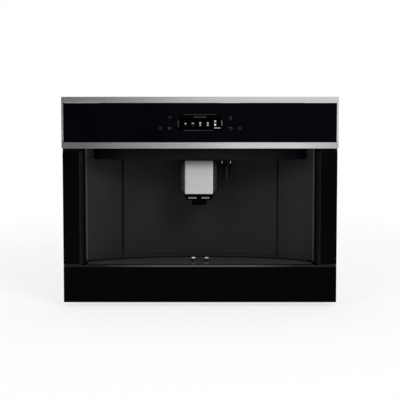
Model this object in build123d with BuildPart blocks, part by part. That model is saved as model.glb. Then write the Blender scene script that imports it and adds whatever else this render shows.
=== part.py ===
from build123d import *
import os
from math import asin, cos, sin, sqrt

os.makedirs("parts", exist_ok=True)

# A built-in coffee machine on telescopic runners. Millimetres throughout.
# X runs to the right as seen from the room, Y runs into the cabinet, Z runs up.
# The origin is the middle of the footprint, on the shelf that the runner brackets stand on.

# ---------------------------------------------------------------- driving dimensions
# whole appliance
front_width = 595.0  # over the steel frame of the control head
front_height = 445.0  # foot of the lower glass to the top of the steel frame
front_lift = 10.0  # foot of the lower glass above the shelf
overall_depth = 474.0  # front glass to the back of the rear tie bar
front_thickness = 26.0  # what stands in front of the cabinet's face
glass_width = 591.0  # over the column glasses and the lower glass
glass = 4.0  # thickness of every front glass
body_width = 520.0  # over the side panels
body_foot = 13.0  # underside of the base plate
body_top = 440.0  # upper face of the top panel
sheet = 1.5  # folded sheet steel
rear_clearance = 9.0  # rear panel to the back of the tie bar
seat_gap = 0.3  # between pieces that only rest on each other
rail_standoff = 2.5  # shim between a fixed rail's mouth and the machine's side
slide_gap = 0.35  # between pieces that slide past each other
pivot_gap = 0.05  # radial, between a hinge pin and its hole

# control head
head_height = 110.8
head_strip = 13.0  # steel strip above and below the glass
head_stile = 4.0  # steel strip at each side
head_corner = 2.0
frame_skin = 2.0
glass_inset = 0.5  # glass behind the steel
moulding = 2.5  # wall of the moulded carriers
display_width = 74.0
display_height = 42.0
display_depth = 5.0
board_width = 250.0
board_height = 60.0
board_thickness = 1.6
board_edge = 12.0  # screw bosses from the board's edge, twice
boss_radius = 3.5
chip_width = 16.0
chip_height = 12.0
chip_thickness = 4.0
glass_corner = 1.0

# columns and their finger grooves
column_width = 35.0
column_foot = 93.0
lip_reach = 10.0  # how far the handle strip curves in from the column glass
lip_depth = 9.0  # how far it curves back
lip_wall = 3.0
groove_end = 6.0  # moulded closing wall at each end of a groove
stop_pad = 1.0  # raised pad that stops against the face of the cabinet
quarter = 90.0  # degrees
head_gap = 6.2  # shadow gap between the columns and the control head
strip_overlap = 1.5  # moulding behind the joint of glass and handle strip

# cup recess, a vertical arc in plan
recess_half = 250.0  # middle to each straight return wall
recess_depth = 120.0  # front plane to the wall, at the middle
recess_side_depth = 55.0  # front plane to where the arc meets the return wall
return_depth = 33.0  # front plane to the front edge of the return wall
wall = 2.0
seam_x = 174.5  # middle to each seam of the service door
seam_gap = 2.8
surround_depth = 16.0  # door surround, behind the face of the wall
surround_post = 14.0
sill_height = 6.2

# service door
door_skin = 2.5
door_rim = 10.0  # depth and width of its stiffening rim
door_foot_gap = 0.8
door_top = 317.0
hinge_barrel = 4.0  # radius of the rounded edge that turns in the seam
hinge_pin = 2.0
hinge_pin_length = 20.0

# canopy over the recess
canopy_half = 233.5
canopy_foot = 318.5
canopy_front_depth = 15.0  # front plane to the canopy, at the middle
canopy_front_radius = 1400.0
canopy_corner = 30.0
lamp_x = 95.0
lamp_length = 60.0
lamp_width = 9.0
lamp_height = 6.5
canopy_edge = 1.5

# coffee spout
spout_x = -2.25
spout_front_depth = 30.0
spout_face = 59.5  # flat front of the steel cover
spout_width = 77.0
spout_facet = 11.0  # how far the slanted cheeks run back
cheek_cut = 9.0  # how far the foot of a cheek rises outwards
spout_back = 55.0  # front of the cover to its back edge
spout_top = 316.2
cover_skin = 2.0
nose_radius = 4.0
spout_base_foot = 230.0
spout_base_height = 13.3
spout_base_width = 54.0
spout_base_depth = 40.0
body_relief = 2.0  # further gap between the moulding and the steel cover
light_bar_length = 17.5
light_bar_height = 4.0
light_bar_gap = 11.0
light_bar_drop = 2.0  # below the middle of the spout's foot, and as thick as this
spout_bump = 4.5  # radius of the round sensor window between the bars
nozzle_reach = 11.2
nozzle_radius = 7.0
nozzle_bore = 3.5
nozzle_spacing = 18.0
guide_web = 28.0
guide_head = 44.0
guide_head_depth = 12.0
guide_head_front_depth = 52.0  # front plane to the front of the guide's head
guide_rise = 6.0  # foot of the spout to the foot of the guide

# hot water outlet
hot_x = 58.5
hot_boss = 11.0
hot_boss_reach = 16.0
hot_stub = 4.0
hot_stub_reach = 12.0
hot_stub_drop = 4.0  # middle of the block to the stub below it
hot_block = 22.0
hot_block_height = 16.0
hot_collar = 10.5
hot_neck = 14.0
hot_tube = 6.0
hot_foot = 271.0
hot_top = 315.0

# lower front and drip tray, which slide out together
trim_height = 4.0
trim_depth = 12.0
trim_top = 91.5
lower_split = 0.3
tray_margin = 20.0  # tray to the body's side
tray_length = 281.0
tray_wall = 2.5
tray_rim = 88.0
grille_side_gap = 4.0
grille_back_gap = 3.0
grille_slot_length = 96.0
grille_slot = 5.0
grille_slot_pitch = 15.0
grille_slot_bar = 16.0  # left between neighbouring slots in a row
grille_slot_offset = 28.0  # trim to the middle row of slots
stud_spacing = 29.2
stud_radius = 4.3
stud_foot = 3.0  # boss of the grille under each stud
stud_height = 5.0
stud_depth = 60.0
rounded_edge = 1.0  # small edge radius on the trim, the studs and the lids
container_half = 80.0
container_setback = 106.0  # tray's front to the container
container_length = 150.0
container_height = 72.0
container_corner = 10.0

# chassis
deck_height = 95.0  # upper face of the inner deck
vent_length = 46.0
vent_width = 5.0
vent_pitch = 12.0
vent_count = 9
vent_drop = 70.0  # top of the body to the middle of the vents

# telescopic runners, three nested sections on each side
rail_height = 45.0
rail_foot = 25.0
rail_setback = 59.0  # front plane to the rails
rail_end_gap = 13.0  # rails to the tie bar
rail_metal = 1.5
rail_bend = 3.0
rail_lip = 1.8
rail_outer_depth = 13.0
rail_middle_depth = 9.2
bracket_metal = 2.0
bracket_height = 80.0
bracket_sole = 37.0
bracket_setback = 57.0  # front plane to the brackets
tie_height = 30.0
tie_sole = 28.0
fixing_spacing_x = 510.0
fixing_spacing_y = 340.0
fixing_hole = 2.6

# bean hopper and grinder
grinder_x = -140.0
grinder_setback = 106.0  # front of the brew unit to the grinder's axis
hopper_size = 180.0
hopper_wall = 2.5
hopper_upright = 50.0  # straight part under the rim
hopper_foot = 335.0
hopper_throat = 52.0
grinder_radius = 40.0
grinder_foot = 245.0
motor_radius = 35.0
motor_foot = 105.0
motor_base = 84.0
motor_slots = 8
motor_slot = 6.0
burr_radius = 24.0
burr_tip = 11.0
burr_height = 26.0
burr_teeth = 12
burr_groove = 1.6
burr_lean = 12.0  # degrees that a groove leans round the cone
burr_slope = 26.5  # degrees that it leans in with the cone
burr_shaft = 4.0
burr_shaft_depth = 20.0
burr_gap = 1.0
upper_burr_radius = 32.0
grinder_floor = 4.0
chute_width = 26.0
chute_height = 22.0

# pre-ground coffee funnel
funnel_x = 0.0
funnel_setback = 24.0
funnel_width = 70.0
funnel_length = 44.0
funnel_upright = 30.0
funnel_throat = 12.0
funnel_foot = 236.5

# lids in the top
lid_margin = 4.0
lid_thickness = 5.0
lid_lift = 2.0
lid_pin = 1.5
lid_pin_reach = 5.0
ear = 5.0

# grind knob
knob_x = 0.0
knob_setback = 166.0
knob_radius = 16.0
knob_height = 8.0
knob_shaft = 4.0
knob_shaft_length = 14.0
knob_flutes = 12
knob_flute = 2.0  # radius of a flute
knob_hole_gap = 1.0  # round the shaft where it passes the top panel

# brew unit
infuser_half = 45.0
infuser_clearance = 21.0  # recess wall to the front of the brew unit
infuser_length = 121.0
infuser_height = 141.0
infuser_wall = 5.0
infuser_window_foot = 40.0
infuser_window = 60.0
chamber_setback = 71.0
chamber_radius = 26.0
chamber_bore = 22.0
chamber_foot = 122.0
chamber_height = 53.0
guide_ear = 10.0
guide_rod = 3.0
piston_gap = 0.3
piston_foot = 222.0
piston_height = 10.0
piston_stem = 8.0
strainer_holes = 8
strainer_hole = 1.2  # radius
drive_height = 34.0

# water tank
tank_x = 170.0
tank_setback = 116.0
tank_size = 140.0
tank_foot = 288.0
tank_wall = 3.0
tank_corner = 14.0
tank_hole_gap = 2.0  # round the tank where it lifts through the top panel
tank_seat_thickness = 3.0
shelf_flange = 24.0
valve_radius = 9.0
valve_height = 8.0

# boiler, pump and power board
boiler_x = 110.0
boiler_setback = 76.0
boiler_radius = 34.0
boiler_height = 120.0
boiler_flange = 4.0
boiler_lugs = 6
boiler_lug = 5.0  # radius of the screw lugs on the flange
pump_x = 200.0
pump_setback = 76.0
pump_z = 126.0
pump_radius = 22.0
pump_length = 120.0
hose = 3.0
hose_nut = 8.0
hose_drop = 32.0
hose_bend = 12.0
power_x = 140.0
power_z = 180.0
power_width = 160.0
power_height = 120.0
power_standoff = 18.0
transformer = 40.0
relay = 14.0
relay_pitch = 21.0

# mains inlet and switch, in the rear panel
inlet_x = -205.0
inlet_z = 60.0
inlet_width = 48.0
inlet_height = 28.0
inlet_socket_width = 24.0
inlet_socket_height = 16.5
inlet_depth = 22.0
inlet_flange = 2.5
inlet_overlap = 4.0  # flange over the rear panel at each side
inlet_overlap_high = 2.0  # and above and below
inlet_pin_spacing = 7.0
inlet_pin = 2.0  # thickness; twice this is its height
inlet_corner = 2.5
switch_x = -150.0
switch_width = 13.0
switch_height = 19.0
switch_frame = 3.0
switch_depth = 14.0
rocker_back = 5.0
rocker_front = 5.0
rocker_dish = 2.0
rocker_gap = 1.0  # to its frame above and below

# ---------------------------------------------------------------- derived planes and centres
front_y = -overall_depth / 2
rear_y = overall_depth / 2
niche_y = front_y + front_thickness
head_top = front_lift + front_height
head_foot = head_top - head_height
head_mid = head_top - head_height / 2
body_half = body_width / 2
body_inner = body_half - sheet
glass_half = glass_width / 2
column_inner = glass_half - column_width
column_top = head_foot - head_gap
rear_panel_y = rear_y - rear_clearance
tie_y = rear_y - bracket_metal

rail_front = front_y + rail_setback
rail_length = tie_y - rail_end_gap - rail_front
bracket_front = front_y + bracket_setback

# the brew unit stands behind the recess, and the other works are set out from its front
infuser_front = front_y + recess_depth + infuser_clearance
infuser_rear = infuser_front + infuser_length
chamber_y = infuser_front + chamber_setback
funnel_y = infuser_front + funnel_setback
grinder_y = infuser_front + grinder_setback
knob_y = infuser_front + knob_setback
tank_y = infuser_front + tank_setback
boiler_y = infuser_front + boiler_setback
pump_y = infuser_front + pump_setback

arc_sagitta = recess_depth - recess_side_depth
arc_radius = (recess_half**2 + arc_sagitta**2) / (2 * arc_sagitta)
arc_centre_y = front_y + recess_depth - arc_radius
arc_side_y = front_y + recess_side_depth
seam_angle = asin(seam_x / arc_radius)
door_foot = column_foot + sill_height + door_foot_gap
wall_top = head_foot - seat_gap
surround_back_y = arc_centre_y + arc_radius + surround_depth

# the hinge line lies inside the wall, where the door's rounded edge meets the left seam
hinge_angle = seam_angle - (seam_gap + hinge_barrel) / arc_radius
latch_angle = seam_angle - seam_gap / arc_radius
hinge_x = -(arc_radius + hinge_barrel) * sin(hinge_angle)
hinge_y = arc_centre_y + (arc_radius + hinge_barrel) * cos(hinge_angle)

spout_front_y = front_y + spout_front_depth
cover_foot = spout_base_foot + spout_base_height
nozzle_foot = spout_base_foot - nozzle_reach
guide_foot = spout_base_foot + guide_rise
spout_back_y = spout_front_y + spout_back
guide_front_y = front_y + guide_head_front_depth
tray_foot = body_foot + sheet + seat_gap
lower_top = trim_top - trim_height
tray_half = body_half - tray_margin
grille_half = recess_half - grille_side_gap
container_front = niche_y + container_setback
container_rear = container_front + container_length
grille_top = trim_top
deck_front_y = surround_back_y

CORNER = (Align.MIN, Align.MIN)


def facing(y):
    """A vertical plane at depth y that faces the room: its x is X and its y is Z."""
    return Plane(origin=(0, y, 0), x_dir=(1, 0, 0), z_dir=(0, -1, 0))


def sideways(x):
    """A vertical plane at x that faces right: its x is Y and its y is Z."""
    return Plane(origin=(x, 0, 0), x_dir=(0, 1, 0), z_dir=(1, 0, 0))


def wedge(left_angle, right_angle):
    """Corners of a triangle that spans the recess arc between two angles from its middle."""
    reach = 2 * arc_radius
    return (
        (0, 0),
        (reach * sin(right_angle), reach * cos(right_angle)),
        (-reach * sin(left_angle), reach * cos(left_angle)),
    )


def wall_depth_at(x):
    """Y of the recess wall's face at a distance x from the middle."""
    return arc_centre_y + sqrt(arc_radius**2 - x**2)


def save(part, name):
    """Labels a finished piece and writes it under its own name."""
    part.label = name
    export_step(part, f"parts/{name}.step")


# ---------------------------------------------------------------- runners
# Brackets of folded steel that stand on the shelf and carry the fixed rails.
bracket_web_x = body_half + rail_standoff + rail_metal + rail_outer_depth
with BuildPart() as right_bracket:
    with BuildSketch(Plane.XY):
        with Locations((bracket_web_x + bracket_metal, bracket_front)):
            Rectangle(bracket_sole, tie_y - bracket_front, align=(Align.MAX, Align.MIN))
    extrude(amount=bracket_metal)
    with BuildSketch(sideways(bracket_web_x)):
        with Locations((bracket_front, 0)):
            Rectangle(tie_y - bracket_front, bracket_height, align=CORNER)
    extrude(amount=bracket_metal)
    top_corners = right_bracket.edges().filter_by(Axis.X).group_by(Axis.Z)[-1]
    fillet(top_corners, bracket_height / 4)
    with Locations((fixing_spacing_x / 2, 0, bracket_metal)):
        with GridLocations(0, fixing_spacing_y, 1, 2):
            Hole(fixing_hole, depth=bracket_metal)
with BuildPart() as runner_brackets:
    add(right_bracket.part)
    mirror(right_bracket.part, about=Plane.YZ)
save(runner_brackets.part, "runner_brackets")

# Angle bar that joins the two brackets behind the machine.
with BuildPart() as rear_tie_bar:
    with BuildSketch(facing(tie_y)):
        Rectangle(2 * (bracket_web_x + bracket_metal), tie_height, align=(Align.CENTER, Align.MIN))
    extrude(amount=-bracket_metal)
    with BuildSketch(Plane.XY):
        with Locations((0, tie_y)):
            sole_width = 2 * (bracket_web_x + bracket_metal - bracket_sole)
            Rectangle(sole_width, tie_sole, align=(Align.CENTER, Align.MAX))
    extrude(amount=bracket_metal)
save(rear_tie_bar.part, "rear_tie_bar")


def rail_section(mouth_x, depth, height, lip):
    """A C-shaped rail whose open side faces the machine, with its lips turned in."""
    with Locations((mouth_x + depth / 2, rail_foot + rail_height / 2)):
        RectangleRounded(depth, height, rail_bend)
        RectangleRounded(depth - 2 * rail_metal, height - 2 * rail_metal, rail_bend - rail_metal,
                         mode=Mode.SUBTRACT)
    with Locations((mouth_x, rail_foot + rail_height / 2)):
        Rectangle(2 * rail_bend, height - 2 * (rail_metal + lip), mode=Mode.SUBTRACT)


rail_mouth_x = bracket_web_x - rail_outer_depth
with BuildPart() as right_fixed_rail:
    with BuildSketch(facing(rail_front)):
        rail_section(rail_mouth_x, rail_outer_depth, rail_height, rail_lip)
    extrude(amount=-rail_length)
with BuildPart() as fixed_rails:
    add(right_fixed_rail.part)
    mirror(right_fixed_rail.part, about=Plane.YZ)
save(fixed_rails.part, "fixed_rails")

middle_height = rail_height - 2 * (rail_metal + slide_gap)
middle_mouth_x = bracket_web_x - rail_metal - slide_gap - rail_middle_depth
with BuildPart() as right_middle_rail:
    with BuildSketch(facing(rail_front)):
        rail_section(middle_mouth_x, rail_middle_depth, middle_height, 0.0)
    extrude(amount=-rail_length)
with BuildPart() as middle_rails:
    add(right_middle_rail.part)
    mirror(right_middle_rail.part, about=Plane.YZ)
save(middle_rails.part, "middle_rails")

# The inner rail opens the other way and is screwed to the side panel.
inner_height = middle_height - 2 * (rail_metal + slide_gap)
inner_depth = bracket_web_x - 2 * (rail_metal + slide_gap) - rail_bend - body_half
with BuildPart() as right_inner_rail:
    with BuildSketch(facing(rail_front)):
        with Locations((body_half, rail_foot + rail_height / 2)):
            Rectangle(inner_depth, inner_height, align=(Align.MIN, Align.CENTER))
        with Locations((body_half + rail_metal, rail_foot + rail_height / 2)):
            Rectangle(inner_depth, inner_height - 2 * rail_metal, align=(Align.MIN, Align.CENTER),
                      mode=Mode.SUBTRACT)
    extrude(amount=-rail_length)
with BuildPart() as inner_rails:
    add(right_inner_rail.part)
    mirror(right_inner_rail.part, about=Plane.YZ)
save(inner_rails.part, "inner_rails")

# ---------------------------------------------------------------- chassis
with BuildPart() as base_plate:
    with BuildSketch(Plane.XY.offset(body_foot)):
        with Locations((0, niche_y)):
            Rectangle(2 * body_inner, rear_panel_y - niche_y, align=(Align.CENTER, Align.MIN))
    extrude(amount=sheet)
save(base_plate.part, "base_plate")

with BuildPart() as right_side_panel:
    with BuildSketch(sideways(body_inner)):
        with Locations((niche_y, body_foot)):
            Rectangle(rear_panel_y - niche_y, body_top - body_foot, align=CORNER)
        with Locations((0, body_top - vent_drop)):
            with GridLocations(vent_pitch, 0, vent_count, 1):
                SlotOverall(vent_length, vent_width, rotation=90, mode=Mode.SUBTRACT)
    extrude(amount=sheet)
with BuildPart() as side_panels:
    add(right_side_panel.part)
    mirror(right_side_panel.part, about=Plane.YZ)
save(side_panels.part, "side_panels")

with BuildPart() as rear_panel:
    with BuildSketch(facing(rear_panel_y)):
        with Locations((0, body_foot)):
            Rectangle(body_width, body_top - body_foot, align=(Align.CENTER, Align.MIN))
        with Locations((power_x, body_top - vent_drop), (grinder_x, body_top - vent_drop)):
            with GridLocations(vent_pitch, 0, vent_count, 1):
                SlotOverall(vent_length, vent_width, rotation=90, mode=Mode.SUBTRACT)
        with Locations((inlet_x, inlet_z)):
            Rectangle(inlet_width - 2 * inlet_overlap, inlet_height - 2 * inlet_overlap_high,
                      mode=Mode.SUBTRACT)
        with Locations((switch_x, inlet_z)):
            Rectangle(switch_width + 2 * switch_frame, switch_height + 2 * switch_frame,
                      mode=Mode.SUBTRACT)
    extrude(amount=-sheet)
save(rear_panel.part, "rear_panel")

with BuildPart() as top_panel:
    with BuildSketch(Plane.XY.offset(body_top - sheet)):
        with Locations((0, niche_y + sheet)):
            Rectangle(2 * body_inner, rear_panel_y - niche_y - sheet, align=(Align.CENTER, Align.MIN))
        with Locations((grinder_x, grinder_y)):
            Rectangle(hopper_size, hopper_size, mode=Mode.SUBTRACT)
        with Locations((funnel_x, funnel_y)):
            Rectangle(funnel_width, funnel_length, mode=Mode.SUBTRACT)
        with Locations((tank_x, tank_y)):
            Rectangle(tank_size + 2 * tank_hole_gap, tank_size + 2 * tank_hole_gap, mode=Mode.SUBTRACT)
        with Locations((knob_x, knob_y)):
            Circle(knob_shaft + knob_hole_gap, mode=Mode.SUBTRACT)
    extrude(amount=sheet)
save(top_panel.part, "top_panel")

# Deck above the drip tray; the brew unit drops its spent coffee through it.
with BuildPart() as inner_deck:
    with BuildSketch(Plane.XY.offset(deck_height - sheet)):
        with Locations((0, deck_front_y)):
            Rectangle(2 * body_inner, rear_panel_y - deck_front_y, align=(Align.CENTER, Align.MIN))
        with Locations((0, chamber_y)):
            Rectangle(2 * (infuser_half - 2 * infuser_wall), 2 * chamber_radius, mode=Mode.SUBTRACT)
    extrude(amount=sheet)
save(inner_deck.part, "inner_deck")

with BuildPart() as head_plate:
    with BuildSketch(facing(niche_y)):
        with Locations((0, head_foot)):
            Rectangle(2 * body_inner, body_top - head_foot, align=(Align.CENTER, Align.MIN))
        with Locations((0, head_mid)):
            Rectangle(board_width / 2, board_height / 2, mode=Mode.SUBTRACT)
    extrude(amount=-sheet)
save(head_plate.part, "head_plate")

# ---------------------------------------------------------------- control head
opening_width = front_width - 2 * head_stile
opening_height = head_height - 2 * head_strip
with BuildPart() as head_frame:
    with BuildSketch(facing(front_y)):
        with Locations((0, head_mid)):
            RectangleRounded(front_width, head_height, head_corner)
            Rectangle(opening_width, opening_height, mode=Mode.SUBTRACT)
    extrude(amount=-front_thickness)
    with BuildSketch(facing(niche_y)):
        with Locations((0, head_mid)):
            with GridLocations(0, head_height - head_strip, 1, 2):
                Rectangle(opening_width, head_strip - 2 * frame_skin)
    extrude(amount=front_thickness - frame_skin, mode=Mode.SUBTRACT)
save(head_frame.part, "head_frame")

control_width = opening_width - 2 * seat_gap
control_height = opening_height - 2 * seat_gap
with BuildPart() as control_glass:
    with BuildSketch(facing(front_y + glass_inset)):
        with Locations((0, head_mid)):
            RectangleRounded(control_width, control_height, glass_corner)
    extrude(amount=-glass)
save(control_glass.part, "control_glass")

glass_back_y = front_y + glass_inset + glass
board_y = glass_back_y + seat_gap + display_depth + seat_gap
with BuildPart() as head_carrier:
    with BuildSketch(facing(glass_back_y)):
        with Locations((0, head_mid)):
            Rectangle(control_width, control_height)
            Rectangle(display_width + 2 * seat_gap, display_height + 2 * seat_gap, mode=Mode.SUBTRACT)
    extrude(amount=glass_back_y - niche_y)
    with BuildSketch(facing(niche_y)):
        with Locations((0, head_mid)):
            Rectangle(control_width - 2 * moulding, control_height - 2 * moulding)
    extrude(amount=niche_y - glass_back_y - moulding, mode=Mode.SUBTRACT)
    with BuildSketch(facing(glass_back_y + moulding)):
        with Locations((0, head_mid)):
            with GridLocations(board_width - board_edge, board_height - board_edge, 2, 2):
                Circle(boss_radius)
    extrude(amount=-(board_y - seat_gap - glass_back_y - moulding))
save(head_carrier.part, "head_carrier")

with BuildPart() as display_module:
    with BuildSketch(facing(glass_back_y + seat_gap)):
        with Locations((0, head_mid)):
            Rectangle(display_width, display_height)
    extrude(amount=-display_depth - seat_gap)
    with BuildSketch(facing(board_y)):
        with Locations((0, head_mid)):
            Rectangle(board_width, board_height)
    extrude(amount=-board_thickness)
    with BuildSketch(facing(board_y + board_thickness)):
        with Locations((0, head_mid)):
            with GridLocations(board_width / 4, board_height / 2, 4, 2):
                Rectangle(chip_width, chip_height)
    extrude(amount=-chip_thickness)
save(display_module.part, "display_module")

# ---------------------------------------------------------------- columns
with BuildPart() as right_column_glass:
    with BuildSketch(facing(front_y)):
        with Locations((column_inner, column_foot)):
            Rectangle(column_width, column_top - column_foot, align=CORNER)
    extrude(amount=-glass)
    fillet(right_column_glass.edges().filter_by(Axis.Y), glass_corner)
with BuildPart() as column_glasses:
    add(right_column_glass.part)
    mirror(right_column_glass.part, about=Plane.YZ)
save(column_glasses.part, "column_glasses")

# The moulding behind the glass is open towards the recess, so that fingers hook behind the lip.
groove_rear_y = niche_y - moulding
with BuildPart() as right_column_carrier:
    with BuildSketch(Plane.XY.offset(column_foot)):
        with Locations((recess_half + wall, front_y + glass)):
            Rectangle(glass_half - recess_half - wall, front_thickness - glass, align=CORNER)
        with Locations((recess_half, niche_y)):
            Rectangle(body_inner - seat_gap - recess_half, return_depth - front_thickness - seat_gap,
                      align=CORNER)
        with Locations((body_half + slide_gap, niche_y)):
            Rectangle(glass_half - body_half - moulding, stop_pad, align=CORNER)
    extrude(amount=wall_top - column_foot)
    with BuildSketch(Plane.XY.offset(column_foot + groove_end)):
        with Locations((recess_half, front_y + glass + moulding)):
            Rectangle(glass_half - recess_half - moulding, groove_rear_y - front_y - glass - moulding,
                      align=CORNER)
        with Locations((recess_half, front_y)):
            Rectangle(column_inner + strip_overlap - recess_half, groove_rear_y - front_y, align=CORNER)
    extrude(amount=column_top - column_foot - 2 * groove_end, mode=Mode.SUBTRACT)
    with BuildSketch(Plane.XY.offset(column_foot)):
        with Locations((recess_half, front_y)):
            Rectangle(column_inner - recess_half + seat_gap, glass + lip_depth, align=CORNER)
    extrude(amount=wall_top - column_foot, mode=Mode.SUBTRACT)
with BuildPart() as left_column_carrier:
    mirror(right_column_carrier.part, about=Plane.YZ)
save(right_column_carrier.part, "right_column_carrier")
save(left_column_carrier.part, "left_column_carrier")

# Handle strip: a lip that curves in and back from the edge of the column glass.
lip_x = column_inner - seat_gap / 2
with BuildPart() as right_handle_strip:
    with BuildSketch(Plane.XY.offset(column_foot)):
        with BuildLine():
            Line((lip_x, front_y + lip_wall), (lip_x, front_y))
            EllipticalCenterArc((lip_x, front_y + lip_depth), lip_reach, lip_depth, 2 * quarter,
                                arc_size=quarter)
            Line((lip_x - lip_reach, front_y + lip_depth),
                 (lip_x - lip_reach + lip_wall, front_y + lip_depth))
            EllipticalCenterArc((lip_x, front_y + lip_depth), lip_reach - lip_wall, lip_depth - lip_wall,
                                2 * quarter, arc_size=quarter)
        make_face()
    extrude(amount=column_top - column_foot)
with BuildPart() as handle_strips:
    add(right_handle_strip.part)
    mirror(right_handle_strip.part, about=Plane.YZ)
save(handle_strips.part, "handle_strips")

# ---------------------------------------------------------------- recess walls
with BuildPart() as right_recess_wall:
    with BuildSketch(Plane.XY.offset(column_foot)):
        with Locations((0, arc_centre_y)):
            Circle(arc_radius + wall)
            Circle(arc_radius, mode=Mode.SUBTRACT)
            Polygon(*wedge(-seam_angle, 2 * seam_angle), align=None, mode=Mode.INTERSECT)
        with Locations((0, arc_centre_y)):
            Rectangle(recess_half + wall, 2 * arc_radius, align=CORNER, mode=Mode.INTERSECT)
        with Locations((recess_half, front_y + return_depth)):
            Rectangle(wall, arc_side_y - front_y - return_depth + wall / 2, align=CORNER)
    extrude(amount=wall_top - column_foot)
with BuildPart() as left_recess_wall:
    mirror(right_recess_wall.part, about=Plane.YZ)
save(right_recess_wall.part, "right_recess_wall")
save(left_recess_wall.part, "left_recess_wall")

# Door surround: two posts behind the seams, a header behind the canopy and a sill at the tray.
post_angle = seam_angle + surround_post / arc_radius
with BuildPart() as door_surround:
    with BuildSketch(Plane.XY.offset(column_foot)):
        with Locations((0, arc_centre_y)):
            Circle(arc_radius + surround_depth)
            Circle(arc_radius + wall, mode=Mode.SUBTRACT)
            Polygon(*wedge(post_angle, post_angle), align=None, mode=Mode.INTERSECT)
    extrude(amount=wall_top - column_foot)
    with BuildSketch(Plane.XY.offset(column_foot)):
        with Locations((0, arc_centre_y)):
            Circle(arc_radius + wall)
            Circle(arc_radius, mode=Mode.SUBTRACT)
            Polygon(*wedge(latch_angle, latch_angle), align=None, mode=Mode.INTERSECT)
    extrude(amount=wall_top - column_foot)
    with BuildSketch(Plane.XY.offset(column_foot + sill_height)):
        with Locations((0, arc_centre_y)):
            Circle(arc_radius + 2 * surround_depth)
            Circle(arc_radius - surround_depth, mode=Mode.SUBTRACT)
            Polygon(*wedge(seam_angle, seam_angle), align=None, mode=Mode.INTERSECT)
    extrude(amount=door_top + door_foot_gap - column_foot - sill_height, mode=Mode.SUBTRACT)
    with Locations((hinge_x, hinge_y, wall_top)):
        Hole(hinge_pin + pivot_gap)
save(door_surround.part, "door_surround")

# ---------------------------------------------------------------- canopy
canopy_height = wall_top - canopy_foot
canopy_centre_y = front_y + canopy_front_depth + canopy_front_radius
with BuildSketch(Plane.XY.offset(canopy_foot), mode=Mode.PRIVATE) as canopy_outline:
    with Locations((0, canopy_centre_y)):
        Circle(canopy_front_radius)
    with Locations((0, front_y)):
        Rectangle(2 * canopy_half, recess_depth, align=(Align.CENTER, Align.MIN), mode=Mode.INTERSECT)
    with Locations((0, arc_centre_y)):
        Circle(arc_radius - seat_gap, mode=Mode.INTERSECT)
    front_corners = canopy_outline.vertices().group_by(Axis.Y)[0]
    fillet(front_corners, canopy_corner)
with BuildPart() as canopy:
    add(canopy_outline.sketch)
    extrude(amount=canopy_height)
    canopy_rim = canopy.faces().sort_by(Axis.Z)[0].edges().filter_by(
        lambda edge: edge.center().Y < front_y + recess_side_depth)
    fillet(canopy_rim, canopy_edge)
    offset(amount=-moulding, openings=canopy.faces().sort_by(Axis.Z)[-1])
    with BuildSketch(Plane.XY.offset(canopy_foot)):
        with Locations((0, front_y + recess_depth / 2)):
            with GridLocations(2 * lamp_x, 0, 2, 1):
                SlotOverall(lamp_length, lamp_width)
    extrude(amount=moulding, mode=Mode.SUBTRACT)
save(canopy.part, "canopy")

with BuildPart() as cup_lamps:
    with BuildSketch(Plane.XY.offset(canopy_foot + seat_gap)):
        with Locations((0, front_y + recess_depth / 2)):
            with GridLocations(2 * lamp_x, 0, 2, 1):
                SlotOverall(lamp_length - 2 * seat_gap, lamp_width - 2 * seat_gap)
    extrude(amount=lamp_height)
save(cup_lamps.part, "cup_lamps")

# ---------------------------------------------------------------- service door
with BuildPart() as service_door:
    with BuildSketch(Plane.XY.offset(door_foot)):
        with Locations((0, arc_centre_y)):
            Circle(arc_radius + door_rim)
            Circle(arc_radius, mode=Mode.SUBTRACT)
            Polygon(*wedge(hinge_angle, latch_angle), align=None, mode=Mode.INTERSECT)
        with Locations((hinge_x, hinge_y)):
            Circle(hinge_barrel)
    extrude(amount=door_top - door_foot)
    with BuildSketch(Plane.XY.offset(door_foot + door_rim)):
        with Locations((0, arc_centre_y)):
            Circle(arc_radius + 2 * door_rim)
            Circle(arc_radius + door_skin, mode=Mode.SUBTRACT)
            rim_angle = 1.5 * door_rim / arc_radius
            Polygon(*wedge(hinge_angle - rim_angle, latch_angle - rim_angle), align=None,
                    mode=Mode.INTERSECT)
    extrude(amount=door_top - door_foot - 2 * door_rim, mode=Mode.SUBTRACT)
    with Locations((hinge_x, hinge_y, door_top), Location((hinge_x, hinge_y, door_foot), (180, 0, 0))):
        Hole(hinge_pin, depth=hinge_pin_length / 2)
save(service_door.part, "service_door")

with BuildPart() as door_hinge_pins:
    with BuildSketch(Plane.XY.offset(column_foot + seat_gap)):
        with Locations((hinge_x, hinge_y)):
            Circle(hinge_pin)
    extrude(amount=door_foot - column_foot + hinge_pin_length / 2 - 2 * seat_gap)
    with BuildSketch(Plane.XY.offset(door_top - hinge_pin_length / 2 + seat_gap)):
        with Locations((hinge_x, hinge_y)):
            Circle(hinge_pin)
    extrude(amount=hinge_pin_length)
save(door_hinge_pins.part, "door_hinge_pins")

# T-shaped guide on the door, which the spout slides up and down.
with BuildPart() as spout_guide:
    with BuildSketch(Plane.XY.offset(guide_foot)):
        with Locations((spout_x, guide_front_y)):
            Rectangle(guide_head, guide_head_depth, align=(Align.CENTER, Align.MIN))
            Rectangle(guide_web, recess_depth, align=(Align.CENTER, Align.MIN))
        with Locations((0, arc_centre_y)):
            Circle(arc_radius, mode=Mode.INTERSECT)
    extrude(amount=door_top - seat_gap - guide_foot)
save(spout_guide.part, "spout_guide")

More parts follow.
